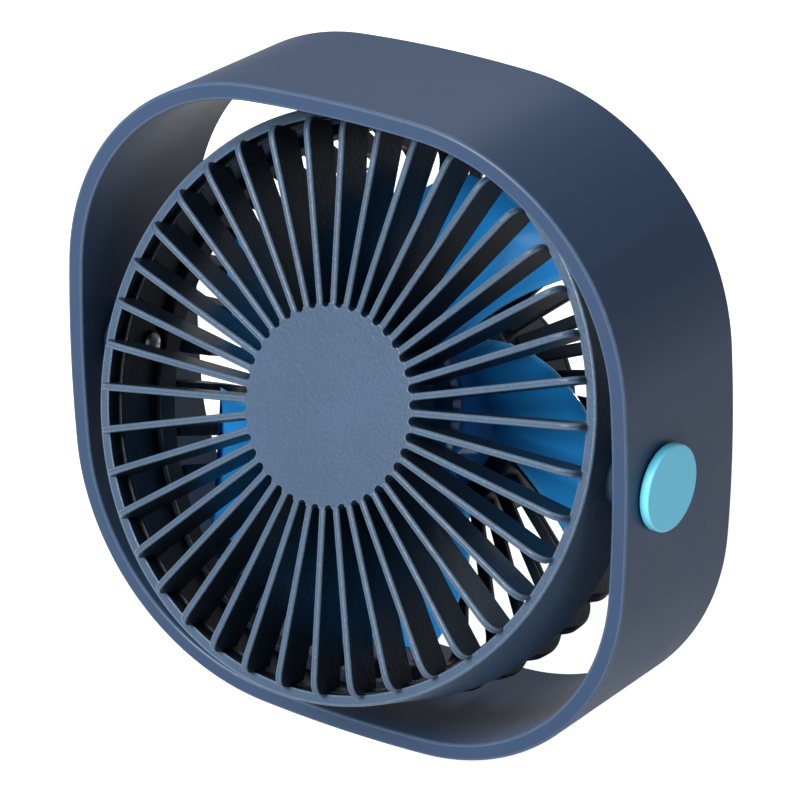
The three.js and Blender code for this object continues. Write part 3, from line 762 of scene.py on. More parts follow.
def frame_shape(edge_radius):
    """The wall's rounded rectangular section carried round the outline. Where the pivots pass, the grid lines
    round the axis are drawn in to a circle, the quads inside it are left out and a tube joins the faces."""
    centres, radii, directions = ring_outline()
    half = RING_DEPTH / 2
    first = rounded([[RING_WALL / 2, -half], [0, -half], [0, 0]], edge_radius, 6, closed=False)[1:-1]
    across = np.column_stack([np.zeros(30), np.linspace(1.2 - half, half - 1.2, 30), np.zeros(30)])
    outer_part = np.concatenate([first, across, (first * [1, -1, 1])[::-1]])
    inner_part = outer_part * [-1, 1, 1] + [RING_WALL, 0, 0]
    profile = np.concatenate([outer_part, inner_part[::-1]])
    flat = centres[:, None] + (radii[:, None] - profile[:, 0])[..., None] * directions[:, None]
    depth = np.broadcast_to(profile[:, 1], flat.shape[:2])
    grid = np.stack([flat[..., 0], depth, flat[..., 1] * RING_ASPECT], -1)
    rows, columns = depth.shape
    pivot_y = PIVOT[1] - RING_MIDDLE[1]
    points = grid.reshape(-1, 3)
    mark = np.tile(profile[:, 2], rows)
    away = np.hypot(points[:, 1] - pivot_y, points[:, 2])
    inside = (away < PIVOT_BORE) & (np.abs(points[:, 0]) > RING_HALF - 6) & (mark == 0)
    quads = sheet_of(grid, True, True)
    kept = quads[~inside[quads].any(1)]
    sides = np.concatenate([kept[:, [k, (k + 1) % 4]] for k in range(4)])
    rim = sides[~np.isin(sides @ [len(points), 1], sides @ [1, len(points)])]
    on_rim = np.unique(rim)
    scale = PIVOT_BORE / away[on_rim]
    points[on_rim, 1] = pivot_y + (points[on_rim, 1] - pivot_y) * scale
    points[on_rim, 2] *= scale
    start, end = rim[(rim % columns < len(outer_part)).all(1)].T

    def twin(index):
        return index + columns - 1 - 2 * (index % columns)
    walls = np.stack([end, start, twin(start), twin(end)], 1)
    return Shape(points, np.concatenate([kept, walls]), edge=mark).outward()


def foot_shape():
    """A pad under the frame's bottom corner: its top follows the corner arc with a gap, its sole is flat, and
    its section runs along the frame's depth with round ends."""
    low_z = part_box("foot_front_right")[0].z / MM - RING_MIDDLE[2]
    across = np.linspace(0, 1, 28)
    x = FOOT["x0"] + (FOOT["x1"] - FOOT["x0"]) * across
    arch = -(CORNER_CENTRE + np.sqrt((CORNER_RADIUS + GAP) ** 2 - (x - CORNER_CENTRE) ** 2)) * RING_ASPECT
    lift = 1
    for rise in ((1 - across) / 0.22, across / 0.06):
        lift = lift * np.sqrt(1 - (1 - np.clip(rise, 0, 1)) ** 2)
    sole = arch + (low_z - arch) * np.maximum(lift, 0.02)
    bend = np.linspace(0, math.pi / 2, 6)
    end = FOOT["end_round"] * (1 - np.cos(bend)) - FOOT["half_length"]
    squeeze = np.sin(np.linspace(0.35, math.pi / 2, 6))
    rings = []
    for y, full in zip([*end, 0, *-end[::-1]], [*squeeze, 1, *squeeze[::-1]]):
        bottom = arch + (sole - arch) * full
        rings.append(np.stack([np.append(x, x[::-1]), np.full(56, y), np.append(arch, bottom[::-1])], 1))
    return loft(np.stack(rings))


class FAN_OT_frame(bpy.types.Operator):
    """Build the standing ring frame and its four feet"""

    bl_idname = "fan.frame"
    bl_label = "Standing frame"

    def execute(self, context):
        settings = context.scene.fan_shell
        piece("frame_ring", frame_shape(settings.edge_radius), "frame", "frame", "frame_plastic", "frame")
        foot = foot_shape()
        for row, y in (("front", -FOOT_ROW), ("rear", FOOT_ROW)):
            for side, turn in (("right", NO_TURN), ("left", turn_about("Z", 180))):
                placed = foot.placed(turn, (0, y, 0))
                piece(f"foot_{row}_{side}", placed, "frame", "frame", "foot_rubber", "rubber")
        return {"FINISHED"}


# ---- screws, knobs and other turned pieces ----
def screw_shape(head_radius, head_height, shank, length, pitch=0.7, recess_depth=0.55):
    """A pan-headed screw along Y, head first. The top is a height field over radius and angle: a dome less a
    cross recess. The shank's radius swells once every pitch, shifted round by the angle, as a thread."""
    head = np.concatenate([np.linspace(0.02, 0.62, 14), np.linspace(0.66, 1, 10)]) * head_radius
    under = [[head_radius, head_height * 0.75, 1], [head_radius * 0.97, head_height, 0],
             [shank, head_height, 0]]
    down = np.linspace(head_height + 0.3, length - shank, int((length - head_height) / pitch * 8))
    body = np.column_stack([np.full(len(down), shank), down, np.zeros(len(down))])
    top = np.column_stack([head, np.zeros(len(head)), head > 0.93 * head_radius])
    point = [[shank * 0.5, length - 0.3, 0], [0, length, 0]]
    profile = np.concatenate([[[0, 0, 0]], top, under, body, point])
    arm, reach, edge, crest = 0.17 * head_radius, 0.6 * head_radius, 0.07 * head_radius, 0.13 * shank

    def bar(a, b):
        return np.clip((arm - np.abs(a)) / edge, 0, 1) * np.clip((reach - np.abs(b)) / edge, 0, 1)

    def wave(angle, radius, y):
        on_top = np.arange(radius.shape[1]) < len(head)
        dome = head_height * 0.75 * (radius / head_radius) ** 2.6
        across, up = radius * np.cos(angle), radius * np.sin(angle)
        recess = recess_depth * head_height * np.maximum(bar(across, up), bar(up, across))
        y = np.where(on_top, dome + recess, y)
        thread = (y > head_height + 0.2) & (y < length - shank) & ~on_top
        swell = crest * (np.cos(TAU * (y / pitch) - angle) * 0.5 - 0.5)
        return np.where(thread, radius + swell, radius), y
    return lathe(profile, 64, wave)


def knob_shape():
    """A turned cap with a rounded rim on a hollow stem that reaches in to the head's boss."""
    cap, face, start = PIVOT_STACK["cap"], PIVOT_STACK["face"], PIVOT_STACK["boss"] + 0.35
    corners = [[0, cap - 1.3, 0], [1.5, cap - 1.3, 0], [1.5, start, 0.1], [3.05, start, 0.1],
               [3.05, cap, 0.15], [8.9, cap, 0.15], [8.9, face, 0.42], [0, face, 0]]
    return along_x(lathe(rounded(corners, 0.2, 6, closed=False), 128))


def bush_shape():
    """A flange between head and frame, with a barrel in the frame's bore."""
    flange, frame_side, barrel = (PIVOT_STACK[name] for name in ("flange", "frame", "barrel"))
    corners = [[STEM_BORE, flange], [6.4, flange], [6.4, frame_side], [4.6, frame_side], [4.6, barrel],
               [STEM_BORE, barrel]]
    return along_x(lathe(rounded(corners, 0.15), 64))


class FAN_OT_pivots(bpy.types.Operator):
    """Build the knobs, bushes, washers and screws on both sides"""

    bl_idname = "fan.pivots"
    bl_label = "Pivots"

    def execute(self, context):
        screw = along_x(screw_shape(2.6, 1.5, 1.15, 11.6, recess_depth=0.0))
        screw = screw.placed(NO_TURN, (SHROUD_INNER - 1.9, 0, 0))
        start = PIVOT_STACK["washer"]
        washer = along_x(turned_ring(STEM_BORE, 6, start, start + 1, 0.2, 5, 64))
        for side, turn in (("right", NO_TURN), ("left", turn_about("Z", 180))):
            parts = [("pivot_knob", knob_shape(), "head", "accent_plastic", "accent"),
                     ("pivot_bush", bush_shape(), "frame", "bush_plastic", "bush"),
                     ("friction_washer", washer, "head", "foot_rubber", "rubber"),
                     ("pivot_screw", screw, "head", "screw_steel", "screw")]
            for name, shape, body, slot, look in parts:
                place = "head" if body == "head" else "axle"
                piece(f"{name}_{side}", shape.placed(turn), place, body, slot, look)
        return {"FINISHED"}


# ---- the head's shell ----
def shroud_shape():
    """The round wall's rounded section turned about the axis, with a boss on each side."""
    wall = lathe(rounded([[SHROUD_INNER, SHROUD_FRONT], [HEAD_RADIUS, SHROUD_FRONT, 0.5],
                          [HEAD_RADIUS, SHROUD_REAR, 0.5], [SHROUD_INNER, SHROUD_REAR]], 0.3, 5), 240)
    # the inner face of the wall carries painted shade
    wall.edge[np.hypot(wall.points[:, 0], wall.points[:, 2]) < SHROUD_INNER + 0.02] = PAINTED_SHADE_WALL
    root, top = HEAD_RADIUS - 1.2, PIVOT_STACK["boss"]
    boss = along_x(lathe(rounded([[1.5, root], [6.2, root, 0], [6.2, top, 0.35], [1.5, top]], 0.1, 5), 72))
    return joined([wall, boss, boss.placed(turn_about("Z", 180))])


def rib_section(thickness, corner, both):
    """The loop round a rib's section as [across, inset, end] rows: round corners on the outside, and on the
    inside too if both. Inset counts from the outer path where end is 0, from the inner one where it is 1."""
    half = thickness / 2
    angle = np.linspace(0, math.pi / 2, 5)
    turned = np.column_stack([half - corner + corner * np.sin(angle), corner - corner * np.cos(angle),
                              np.zeros(5)])
    right = np.concatenate([[[half - corner - 0.05, 0, 0]], turned, [[half, corner + 0.1, 0]]])
    ending = right[::-1] * [1, 1, 0] + [0, 0, 1] if both else [[half, 0, 1]]
    right = np.concatenate([right, ending])
    return np.concatenate([right, (right * [-1, 1, 1])[::-1]])


def rib_shape(outer, inner, thickness, corner, both=False, mark=0.0):
    """A rib in the x-y plane between an outer and an inner path of [x, y] points, with a rounded section:
    each section point goes from its outer point towards its inner one by its inset, or back from the inner
    one. The side walls carry the mark, which paints shade on them when it is below zero."""
    across, inset, end = rib_section(thickness, corner, both).T
    down = inner - outer
    length = np.linalg.norm(down, axis=1, keepdims=True)
    travel = np.minimum(inset, 0.48 * length)
    travel = np.where(end > 0, length - travel, travel)
    flat = outer[:, None] + (down / length)[:, None] * travel[..., None]
    grid = np.concatenate([flat, np.broadcast_to(across[:, None], (*flat.shape[:2], 1))], -1)
    on_corner = (inset > 1e-6) & (inset < corner) & (end == 0)
    on_wall = (inset >= corner) | (end > 0)
    return loft(grid, edge=np.where(on_corner, 1.0, np.where(on_wall, mark, 0.0)))


def front_rib(back, thickness):
    """A radial rib whose outer end rounds down on to the shroud's front face along a blunt superellipse."""
    lip = SHROUD_FRONT - 0.02
    face = GRILLE_FRONT + 0.02
    tip, reach, blunt = HEAD_RADIUS - 1.97, 5.0, 2 / 3
    bend = np.linspace(0, math.pi / 2, 19)
    end = np.column_stack([tip - reach + reach * np.sin(bend) ** blunt,
                           lip - 0.3 - (lip - 0.3 - face) * np.cos(bend) ** blunt])
    outer = np.concatenate([[[FRONT_HUB_RADIUS + 0.55, face], [30, face], [45, face]], end, [[tip, lip]]])
    inner = np.column_stack([np.minimum(outer[:, 0], SPIGOT_RADIUS - 0.02), np.full(len(outer), back)])
    inner[outer[:, 0] > SPIGOT_RADIUS, 1] = lip + 0.01
    # the rib's side walls carry painted shade
    return rib_shape(outer, inner, thickness, 0.42 * thickness, mark=PAINTED_SHADE_RIB)


def front_hub(back, ribs, thickness):
    """A flat hub whose rim is scalloped by the slots' round ends. Each row of the section is [share, radius,
    y, mark], and lies at share times the scalloped rim's radius plus its own radius."""
    pitch = TAU / ribs
    slot_half = (FRONT_HUB_RADIUS * pitch * 1.04 - thickness) / 2
    slot_centre = FRONT_HUB_RADIUS + slot_half * 0.9
    swing = np.linspace(-math.pi / 2, math.pi / 2, 13)
    slot_angle = np.arcsin(slot_half * np.sin(swing) / slot_centre)
    angles = (np.arange(ribs)[:, None] * pitch + pitch / 2 + slot_angle).ravel()
    scallop = np.tile(slot_centre - slot_half * np.cos(swing), ribs)
    inside, soft = GRILLE_FRONT + 2.0, 0.22
    bow = np.linspace(0, math.pi / 2, 6)
    rim = np.column_stack([np.ones(6), soft * (np.sin(bow) - 1), GRILLE_FRONT + soft * (1 - np.cos(bow)),
                           np.ones(6)])
    rows = np.array([[0, 6, GRILLE_FRONT, 0], [0, 12, GRILLE_FRONT, 0], [0, 17.5, GRILLE_FRONT, 0],
                     [1, -soft - 0.08, GRILLE_FRONT, 0], *rim, [1, 0, GRILLE_FRONT + soft + 0.1, 0],
                     [1, 0, back, 0], [0, 18.2, back, 0], [0, 18.2, inside, 0], [0, 9, inside, 0]])
    radius = rows[:, 0] * scallop[:, None] + rows[:, 1]
    grid = np.stack([radius * np.cos(angles)[:, None], np.broadcast_to(rows[:, 2], radius.shape),
                     radius * np.sin(angles)[:, None]], -1)
    return closed_at_poles(grid, rows[:, 3], GRILLE_FRONT, inside)


def front_grille_shape(ribs, thickness):
    """The ribs, the hub that they run in to and the ring that fits inside the shroud."""
    back = GRILLE_FRONT + FRONT_RIB_DEPTH
    ring = turned_ring(SPIGOT_RADIUS - 0.8, SPIGOT_RADIUS, back - 1.6, back, 0.2, 3, 160)
    # the whole ring carries painted shade
    ring.edge[:] = PAINTED_SHADE_WALL
    return joined([front_hub(back, ribs, thickness), ring, repeated(front_rib(back, thickness), ribs)])


def rear_rib(width):
    """A flat rib that passes the axis at an offset and wraps round the back edge, deeper where it turns."""
    rim, root = HEAD_RADIUS - 0.2, REAR_HUB_RADIUS - 0.9
    start, foot, turn_start, turn_radius = SHROUD_REAR + 0.03, SHROUD_REAR + 1.2, 11.2, 11.5
    bend = np.linspace(0, math.pi / 2, 18)
    turn = np.column_stack([rim - turn_radius * (1 - np.cos(bend)),
                            turn_start + (REAR_PLANE - turn_start) * np.sin(bend)])
    outer = np.concatenate([[[rim, start], [rim, foot], [rim, 10.2]], turn,
                            [[40, REAR_PLANE], [32, REAR_PLANE], [root, REAR_PLANE]]])
    slope = np.gradient(outer, axis=0)
    slope /= np.linalg.norm(slope, axis=1, keepdims=True)
    depth = np.interp(outer[:, 1], [8, 12, 19, REAR_PLANE], [2.8, 5, 5.2, REAR_RIB_DEPTH])
    inner = outer + np.stack([-slope[:, 1], slope[:, 0]], 1) * depth[:, None]
    inner[:2] = [[SPIGOT_RADIUS - 0.2, start], [SPIGOT_RADIUS - 0.2, foot]]
    inner[-3:] = outer[-3:] - [0, REAR_RIB_DEPTH]
    for path in (outer, inner):
        path[:, 0] = np.sqrt(np.maximum(path[:, 0] ** 2 - REAR_RIB_OFFSET ** 2, 0))
    rib = rib_shape(outer, inner, width, 0.45, both=True).placed(NO_TURN, (0, 0, REAR_RIB_OFFSET))
    return rib.placed(turn_about("Y", -REAR_RIB_PHASE))


def rear_grille_shape(ribs, width):
    """The ribs, the ring inside the shroud and the cup with the motor's seat, the tube for the bearings and
    the cover's posts."""
    top, plate = COVER_FRONT - GAP, BACK_PLATE + 1.6
    spigot = turned_ring(SPIGOT_RADIUS - 1.4, SPIGOT_RADIUS, SHROUD_REAR - 4, SHROUD_REAR + 1.2, 0.25, 4, 180)
    cavity = REAR_HUB_RADIUS - REAR_HUB_WALL
    cup = lathe(rounded([[5.4, BACK_PLATE], [REAR_HUB_RADIUS, BACK_PLATE, 0.6], [REAR_HUB_RADIUS, top, 0.3],
                         [cavity, top, 0.3], [cavity, plate, 0.5], [5.4, plate]], 0.1, 5), 144)
    seat = turned_ring(4, TUBE_RADIUS, 6, BACK_PLATE + 0.4, 0.25, 4, 72)
    post = turned_ring(1.1, 2.3, BACK_PLATE + 1, top - GAP, 0.15, 3, 40)
    posts = [post.placed(NO_TURN, (x, 0, z)) for x, z in COVER_SCREWS]
    return joined([cup, seat, spigot, *posts, repeated(rear_rib(width), ribs)])


def rear_cover_shape():
    """A round plate with a rounded rim, a hole for the button, a slot for the socket and three counterbored
    holes. Each band lists offsets and depths from the plate's front to its back."""
    front, back = COVER_FRONT, COVER_FRONT + COVER_THICKNESS
    rim, button = REAR_HUB_RADIUS, BUTTON_RADIUS + 0.4
    bands = {
        "rim": [[rim - 2, front], [rim, front, 0.15], [rim, back, 0.7], [rim - 2, back]],
        "button": [[button + 0.8, front], [button, front, 0.1], [button, back, 0.3], [button + 0.8, back]],
        "socket": [[0.6, front], [0, front, 0.1], [0, back, 0.3], [0.6, back]],
        "screw": [[1.9, front], [1.3, front, 0], [1.3, back - 1.1, 0.1], [2.7, back - 1.1, 0.1],
                  [2.7, back, 0.2], [3.1, back]],
    }
    bands = {name: rounded(corners, 0.2, 6 if name == "rim" else 5, closed=False)
             for name, corners in bands.items()}
    holes = [(disc_loop(0, 0, 64), bands["button"]), (slot_loop(0, -USB_DROP, 10, 4.1, 0.9), bands["socket"])]
    holes += [(disc_loop(x, z, 48), bands["screw"]) for x, z in COVER_SCREWS]
    return pierced_plate((disc_loop(0, 0, 144), bands["rim"]), holes)


class FAN_OT_shell(bpy.types.Operator):
    """Build the shroud, both grilles and the rear cover with its screws"""

    bl_idname = "fan.shell"
    bl_label = "Head shell"

    def execute(self, context):
        settings = context.scene.fan_shell
        piece("shroud", shroud_shape(), "head", "head", "shell_plastic", "shell")
        front = front_grille_shape(settings.front_ribs, settings.rib_thickness)
        piece("front_grille", front, "head", "head", "shell_plastic", "shell")
        rear = rear_grille_shape(settings.rear_ribs, settings.rear_rib_width)
        piece("rear_grille", rear, "head", "head", "rear_plastic", "rear")
        piece("rear_cover", rear_cover_shape(), "head", "head", "rear_plastic", "rear")
        screw = screw_shape(2.3, 0.8, 0.8, 6, 0.6).placed(turn_about("X", 180))
        for number, (x, z) in enumerate(COVER_SCREWS, 1):
            placed = screw.placed(NO_TURN, (x, COVER_FRONT + COVER_THICKNESS, z))
            piece(f"cover_screw_{number}", placed, "head", "head", "screw_steel", "screw")
        return {"FINISHED"}


# ---- rotor and motor ----
def blade_shape(thickness):
    """A swept scoop blade. Over span and chord, the angle runs from a front edge to a rear edge that both
    sweep with the span, and the depth follows 1 - (1 - chord)^bend. Its thickness lies on both sides."""
    span = np.concatenate([np.linspace(0, 0.96, 22), [0.975, 0.988, 0.996, 1.0]])
    around = 56
    turn = np.arange(around) * TAU / around
    chord = 0.5 - 0.5 * np.cos(turn)
    side = np.sin(turn)
    root = ROTOR_HUB_RADIUS - 1
    radius = root + (ROTOR_RADIUS - root) * span
    depth = ROTOR_REAR - ROTOR_FRONT - thickness - 0.3

    def middle(share):
        front = 50 - 28 * span - 14 * span ** 2
        rear = -9 - 22 * span + 4 * span ** 2
        angle = np.radians(front[:, None] + (rear - front)[:, None] * share)
        bend = (1.5 + 0.7 * span)[:, None]
        return angle, ROTOR_FRONT + thickness / 2 + 0.3 + depth * (1 - np.clip(1 - share, 0, 1) ** bend)
    angle, y = middle(chord[None])
    before = middle(np.clip(chord - 0.01, 0, 1)[None])
    behind = middle(np.clip(chord + 0.01, 0, 1)[None])
    run = (behind[0] - before[0]) * radius[:, None]
    rise = behind[1] - before[1]
    length = np.hypot(run, rise)
    tip = np.sqrt(np.clip(1 - ((span - 0.96) / 0.042).clip(0, 1) ** 2, 0.01, 1))
    half = (thickness / 2 * (1 - 0.35 * span) * tip)[:, None] * (np.sign(side) * np.abs(side) ** 0.45)[None]
    angle = angle - half * rise / length / radius[:, None]
    y = y + half * run / length
    grid = np.stack([radius[:, None] * np.cos(angle), y, radius[:, None] * np.sin(angle)], -1)
    # the blade's edges are marked, so the rotor's finish lightens them as painted highlight
    edge = np.broadcast_to((np.abs(side) < 0.35).astype(float), grid.shape[:2])
    return loft(grid, edge=edge)


def rotor_shape(blades, thickness):
    """A turned hub cup with a soft front edge, and its blades."""
    outside, inside, bore = ROTOR_HUB_RADIUS, ROTOR_HUB_RADIUS - 1.8, SHAFT_RADIUS + GAP
    front, rear = ROTOR_FRONT, ROTOR_REAR
    corners = [[0, front, 0], [outside, front, 3.4], [outside, rear, 0.3], [inside, rear, 0.3],
               [inside, front + 1.8, 1.6], [3.2, front + 1.8, 0.2], [3.2, front + 3.6, 0.2],
               [bore, front + 3.6, 0.1], [bore, front + 1, 0], [0, front + 1, 0]]
    cup = lathe(rounded(corners, 0.3, 8, closed=False), 144)
    return joined([cup, repeated(blade_shape(thickness), blades)])


class FAN_OT_rotor(bpy.types.Operator):
    """Build the rotor with its magnet, yoke and shaft"""

    bl_idname = "fan.rotor"
    bl_label = "Rotor"

    def execute(self, context):
        settings = context.scene.fan_rotor
        rotor = rotor_shape(settings.blades, settings.blade_thickness)
        piece("rotor", rotor, "head", "rotor", "rotor_plastic", "rotor")
        parts = [("rotor_yoke", 16.5, 17.7, 5.6, 17, "yoke_steel", "steel"),
                 ("magnet_ring", 14.8, 16.2, 6.2, 16, "magnet", "ferrite")]
        for name, inner, outer, y0, y1, slot, look in parts:
            piece(name, turned_ring(inner, outer, y0, y1, 0.25, 4, 120), "head", "rotor", slot, look)
        shaft = turned_ring(0, SHAFT_RADIUS, ROTOR_FRONT + 1.3, SHAFT_END, 0.25, 4, 48)
        piece("motor_shaft", shaft, "head", "rotor", "yoke_steel", "steel")
        return {"FINISHED"}


# ---- button, socket and the motor's still parts ----
def button_shape():
    """A turned cap with a flange inside the cover and a slightly dished face."""
    radius, flange = BUTTON_RADIUS, BUTTON_RADIUS + 1.3
    profile = [[0, -2.4, 0], [2, -2.4], [2, -1.7], [flange, -1.7], [flange, -0.7], [radius, -0.7, 0.1],
               [radius, 3, 0.6], [radius - 1.6, 2.95, 0.3], [0, 2.7, 0]]
    return lathe(rounded(profile, 0.15, 6, closed=False), 96).placed(NO_TURN, (0, COVER_FRONT, 0))


def socket_shape():
    """A drawn shell: the slot outline carried back, over the rim and down the inside to its floor."""
    front, rim, floor = BOARD_Y + 1.3, COVER_FRONT + 1.5, BOARD_Y + 2.3
    outline = slot_loop(0, -USB_DROP, 9, 3.3, 1.65)
    band = rounded([[-1, front], [0, front, 0.3], [0, rim, 0.12], [-0.35, rim, 0.12], [-0.35, floor, 0.2],
                    [-1, floor]], 0.1, 4, closed=False)
    return loft(np.stack([np.insert(outline(row[0]), 1, row[1], axis=1) for row in band]), edge=band[:, 2:3])


def tongue_shape():
    """The socket's contact board with its soft edges."""
    band = slab(BOARD_Y + 2.7, BOARD_Y + 8.1, 0.1, 0.15)
    return pierced_plate((slot_loop(0, -USB_DROP, 6.6, 0.7, 0.2), band))


def switch_shape():
    """A square tact switch and its round plunger."""
    low, top = BOARD_Y + 1.3, BOARD_Y + 3.9
    case = pierced_plate((slot_loop(0, 0, 6, 6, 0.5), slab(low, low + 2.2, 0.2)))
    corners = [[0, low + 2, 0], [1.6, low + 2], [1.6, top, 0.25], [0, top, 0]]
    plunger = lathe(rounded(corners, 0.1, 4, closed=False), 40)
    return joined([case, plunger])


def bearing_shape(y0, y1):
    """Two races with a sunk shield between them."""
    low, high = y0 + 0.22, y1 - 0.22
    corners = [[1.55, y0], [2.1, y0], [2.1, low], [3.1, low], [3.1, y0], [3.7, y0], [3.7, y1],
               [3.1, y1], [3.1, high], [2.1, high], [2.1, y1], [1.55, y1]]
    return lathe(rounded(corners, 0.08, 3), 64)


def spring_shape():
    """A helix of round wire between the board and the button's flange."""
    share = np.linspace(0, 1, 145)
    x, z = polar(SPRING["radius"], 360 * SPRING["turns"] * share)
    along = BOARD_Y + 1.6 + (COVER_FRONT - BOARD_Y - 3.9) * share
    return tube_along(np.stack([x, along, z], 1), SPRING["wire"], 12)


def clip_shape():
    """An open ring of spring steel."""
    outer, inner = np.linspace(16, 344, 48), np.linspace(329, 31, 40)
    corners = np.concatenate([np.stack(polar(3.0, outer), 1), np.stack(polar(SHAFT_RADIUS + GAP, inner), 1)])
    return pierced_plate((polygon_loop(corners), slab(BACK_PLATE + 0.3, BACK_PLATE + 0.9, 0.06, 0.2)))


def stator_shape():
    """The laminated core: the outline of four necks and shoes round a bored ring."""
    core, face, tip = STATOR["core"], STATOR["face"], STATOR["tip"]
    spread = math.degrees(STATOR["half_angle"])
    half = 1.5
    low, high = (math.degrees(math.asin(half / radius)) for radius in (core, face))
    rows = [(core, np.linspace(low - 90 + 4, -low, 6)), (face, np.linspace(-high, -spread, 6)),
            (tip, np.linspace(-spread, spread, 20)), (face, np.linspace(spread, high, 6)),
            (core, np.array([low]))]
    radius = np.concatenate([np.full(len(angles), size) for size, angles in rows])
    degrees = np.concatenate([angles for _, angles in rows])
    outline = np.concatenate([np.stack(polar(radius, degrees + 45 + 90 * pole), 1) for pole in range(4)])
    front, rear = STATOR["front"], STATOR["rear"]
    return pierced_plate((polygon_loop(outline), slab(front, rear, 0.1, 0.2)),
                         [(disc_loop(0, 0, 64), hole_band(front, rear) + [STATOR["bore"], 0, 0])])


def coil_shape(pole):
    """One winding: a soft block pierced by the pole's neck, bulged a little between its cheeks."""
    width = STATOR["face"] - STATOR["core"] - 1
    tall = STATOR["rear"] - STATOR["front"]
    start = (STATOR["face"] + STATOR["core"]) / 2 - width / 2
    block = pierced_plate((slot_loop(0, 0, 6.2, tall + 3.4, 1.4), slab(0, width, 0.6, 1.2)),
                          [(slot_loop(0, 0, 3.6, tall + 0.6, 0.4), hole_band(0, width))])
    middle = (STATOR["front"] + STATOR["rear"]) / 2
    block = block.placed([[0, 1, 0], [0, 0, 1], [1, 0, 0]], (start, middle, 0))
    return block.placed(turn_about("Y", 90 * pole + 45))


def smooth_path(knots, steps=10):
    """Catmull-Rom curve through the knots."""
    knots = np.asarray(knots, float)
    padded = np.concatenate([[2 * knots[0] - knots[1]], knots, [2 * knots[-1] - knots[-2]]])
    share = np.linspace(0, 1, steps, endpoint=False)[:, None]
    parts = [0.5 * (2 * b + (c - a) * share + (2 * a - 5 * b + 4 * c - d) * share ** 2
                    + (3 * b - a - 3 * c + d) * share ** 3)
             for a, b, c, d in zip(padded, padded[1:], padded[2:], padded[3:])]
    return np.concatenate([*parts, knots[-1:]])


def lead_shape(offset):
    """An insulated lead from the motor's board through the seat to the control board."""
    x, z = polar(*WIRE_EXIT)
    knots = [[x - 0.6, 17.6, z + offset * 1.6], [x, 18.6, z + offset], [x, 19.9, z + offset],
             [x - 1, 25, z + offset * 1.6], [x - 0.5, BOARD_Y - 0.6, z + offset * 1.4]]
    return tube_along(smooth_path(knots), 0.5, 20)


class FAN_OT_works(bpy.types.Operator):
    """Build the button, the socket, the boards and the motor's still parts"""

    bl_idname = "fan.works"
    bl_label = "Button, socket and motor"

    def execute(self, context):
        board = turned_ring(0, 15, BOARD_Y, BOARD_Y + 1, 0.12, 3, 96)
        ring = turned_ring(6, 14.3, 15.6, 16.6, 0.12, 3, 96)
        piece("push_button", button_shape(), "head", "button", "accent_plastic", "accent")
        spring = piece("button_spring", spring_shape(), "head", "head", "screw_steel", "steel")
        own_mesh(spring)
        parts = [("usb_socket", socket_shape(), "socket_steel", "steel"),
                 ("usb_tongue", tongue_shape(), "switch_plastic", "black"),
                 ("switch_body", switch_shape(), "switch_plastic", "black"),
                 ("control_board", board, "board", "board"), ("motor_board", ring, "board", "board"),
                 ("bearing_front", bearing_shape(6.3, 9.3), "screw_steel", "steel"),
                 ("bearing_rear", bearing_shape(15, 18), "screw_steel", "steel"),
                 ("stator_core", stator_shape(), "yoke_steel", "silicon"),
                 ("lead_red", lead_shape(0.8), "lead_red", "red_lead"),
                 ("lead_black", lead_shape(-0.8), "lead_black", "black")]
        parts += [(f"stator_coil_{pole + 1}", coil_shape(pole), "coil_wire", "copper") for pole in range(4)]
        for name, shape, slot, look in parts:
            piece(name, shape, "head", "head", slot, look)
        piece("shaft_clip", clip_shape(), "head", "rotor", "screw_steel", "steel")
        return {"FINISHED"}


def seen_strength(tree, seen, mirrored, lighting):
    """A strength that differs for what is seen directly, for mirror images and for the light it gives."""
    path = tree.nodes.new("ShaderNodeLightPath")
    glossy = calc(tree, "MULTIPLY_ADD", path.outputs["Is Glossy Ray"], mirrored - lighting, lighting)
    return calc(tree, "MULTIPLY_ADD", path.outputs["Is Camera Ray"], seen - lighting, glossy)


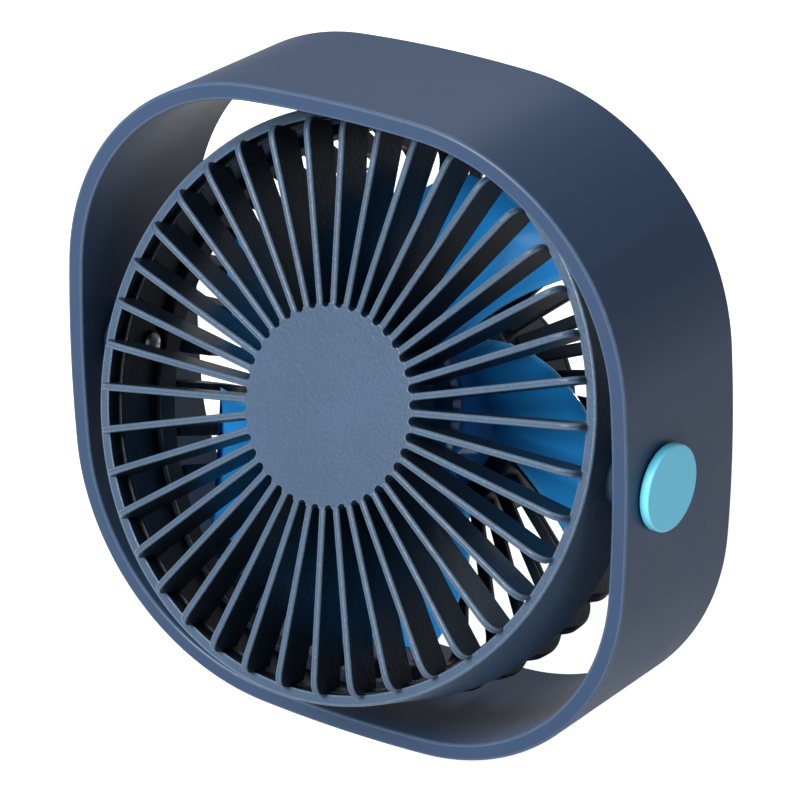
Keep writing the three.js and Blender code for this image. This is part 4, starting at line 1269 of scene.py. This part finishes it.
class FAN_OT_stage(bpy.types.Operator):
    """Set up the floor, the studio light and the camera"""

    bl_idname = "fan.stage"
    bl_label = "Stage"

    def execute(self, context):
        settings = context.scene.fan_stage
        scene = context.scene
        scene.view_settings.view_transform = "Standard"
        target = RING_MIDDLE * MM
        side, rise = settings.azimuth, settings.elevation
        back = np.array([math.sin(side) * math.cos(rise), -math.cos(side) * math.cos(rise), math.sin(rise)])
        right = np.cross(-back, [0, 0, 1])
        right /= np.linalg.norm(right)
        up = np.cross(right, -back)
        cos, sin = math.cos(settings.roll), math.sin(settings.roll)
        right, up = right * cos + up * sin, -right * sin + up * cos
        camera_data = bpy.data.cameras.new("view")
        camera_data.lens = settings.lens
        camera_data.sensor_width = 36
        camera_data.shift_x, camera_data.shift_y = settings.shift
        camera_data.clip_start, camera_data.clip_end = 0.01, 20
        camera = bpy.data.objects.new("view", camera_data)
        scene.collection.objects.link(camera)
        placing = np.eye(4)
        placing[:3, :3] = np.stack([right, up, back], 1)
        placing[:3, 3] = target + back * settings.distance
        camera.matrix_world = Matrix(placing.tolist())
        scene.camera = camera

        size = 3.0
        floor_mesh = bpy.data.meshes.new("floor")
        floor_mesh.from_pydata([(-size, -size, 0), (size, -size, 0), (size, size, 0), (-size, size, 0)], [],
                               [(0, 1, 2, 3)])
        floor = bpy.data.objects.new("floor", floor_mesh)
        scene.collection.objects.link(floor)
        paper = bpy.data.materials.new("pale_paper")
        paper.use_nodes = True
        tree = paper.node_tree
        shader = tree.nodes["Principled BSDF"]
        shader.inputs["Base Color"].default_value = (0.62, 0.62, 0.62, 1)
        shader.inputs["Roughness"].default_value = 0.9
        shader.inputs["Emission Color"].default_value = (1, 1, 1, 1)
        tree.links.new(seen_strength(tree, 0.95, 0.36, 0.15), shader.inputs["Emission Strength"])
        floor_mesh.materials.append(paper)

        world = bpy.data.worlds.new("studio")
        scene.world = world
        world.use_nodes = True
        sky = world.node_tree.nodes["Background"]
        sky.inputs["Color"].default_value = (0.93, 0.96, 1.0, 1)
        world.node_tree.links.new(seen_strength(world.node_tree, 1.0, settings.mirrored_room, settings.sky),
                                  sky.inputs["Strength"])

        lamps = [("key", (-0.3, -1.5, 1.05), 0.7, 0.7, settings.key_light),
                 ("top", (-0.5, 0.7, 1.1), 0.5, 0.3, settings.top_light),
                 ("fill", (1.5, -0.05, 0.6), 0.6, 0.6, settings.fill_light)]
        for name, where, width, height, power in lamps:
            lamp_data = bpy.data.lights.new(name, "AREA")
            lamp_data.shape = "RECTANGLE"
            lamp_data.size, lamp_data.size_y = width, height
            lamp_data.energy = power
            lamp = bpy.data.objects.new(name, lamp_data)
            scene.collection.objects.link(lamp)
            lamp.location = where
            aim = np.array(where) - target
            aim /= np.linalg.norm(aim)
            side_axis = np.cross([0, 0, 1], aim)
            side_axis /= np.linalg.norm(side_axis)
            turned = np.eye(4)
            turned[:3, :3] = np.stack([side_axis, np.cross(aim, side_axis), aim], 1)
            turned[:3, 3] = where
            lamp.matrix_world = Matrix(turned.tolist())
        return {"FINISHED"}


class FAN_PT_panel(bpy.types.Panel):
    """Settings and buttons for the desk fan's looks."""

    bl_idname = "FAN_PT_panel"
    bl_label = "Desk fan"
    bl_space_type = "VIEW_3D"
    bl_region_type = "UI"
    bl_category = "Desk fan"

    def draw(self, context):
        column = self.layout.column()
        for settings in (context.scene.fan_shell, context.scene.fan_rotor, context.scene.fan_stage):
            for name in settings.__annotations__:
                column.prop(settings, name)
        for operator in OPERATORS:
            column.operator(operator.bl_idname)


OPERATORS = (FAN_OT_frame, FAN_OT_pivots, FAN_OT_shell, FAN_OT_rotor, FAN_OT_works, FAN_OT_stage)
SETTINGS = {"fan_shell": FanShellSettings, "fan_rotor": FanRotorSettings, "fan_stage": FanStageSettings}


def register():
    for kind in (*SETTINGS.values(), *OPERATORS, FAN_PT_panel):
        bpy.utils.register_class(kind)
    for name, kind in SETTINGS.items():
        setattr(bpy.types.Scene, name, bpy.props.PointerProperty(type=kind))


def unregister():
    for name in SETTINGS:
        delattr(bpy.types.Scene, name)
    for kind in reversed((*SETTINGS.values(), *OPERATORS, FAN_PT_panel)):
        bpy.utils.unregister_class(kind)


def main():
    """Builds everything in order."""
    register()
    bpy.ops.fan.frame()
    bpy.ops.fan.pivots()
    bpy.ops.fan.shell()
    bpy.ops.fan.rotor()
    bpy.ops.fan.works()
    bpy.ops.fan.stage()


if __name__ == "__main__":
    main()
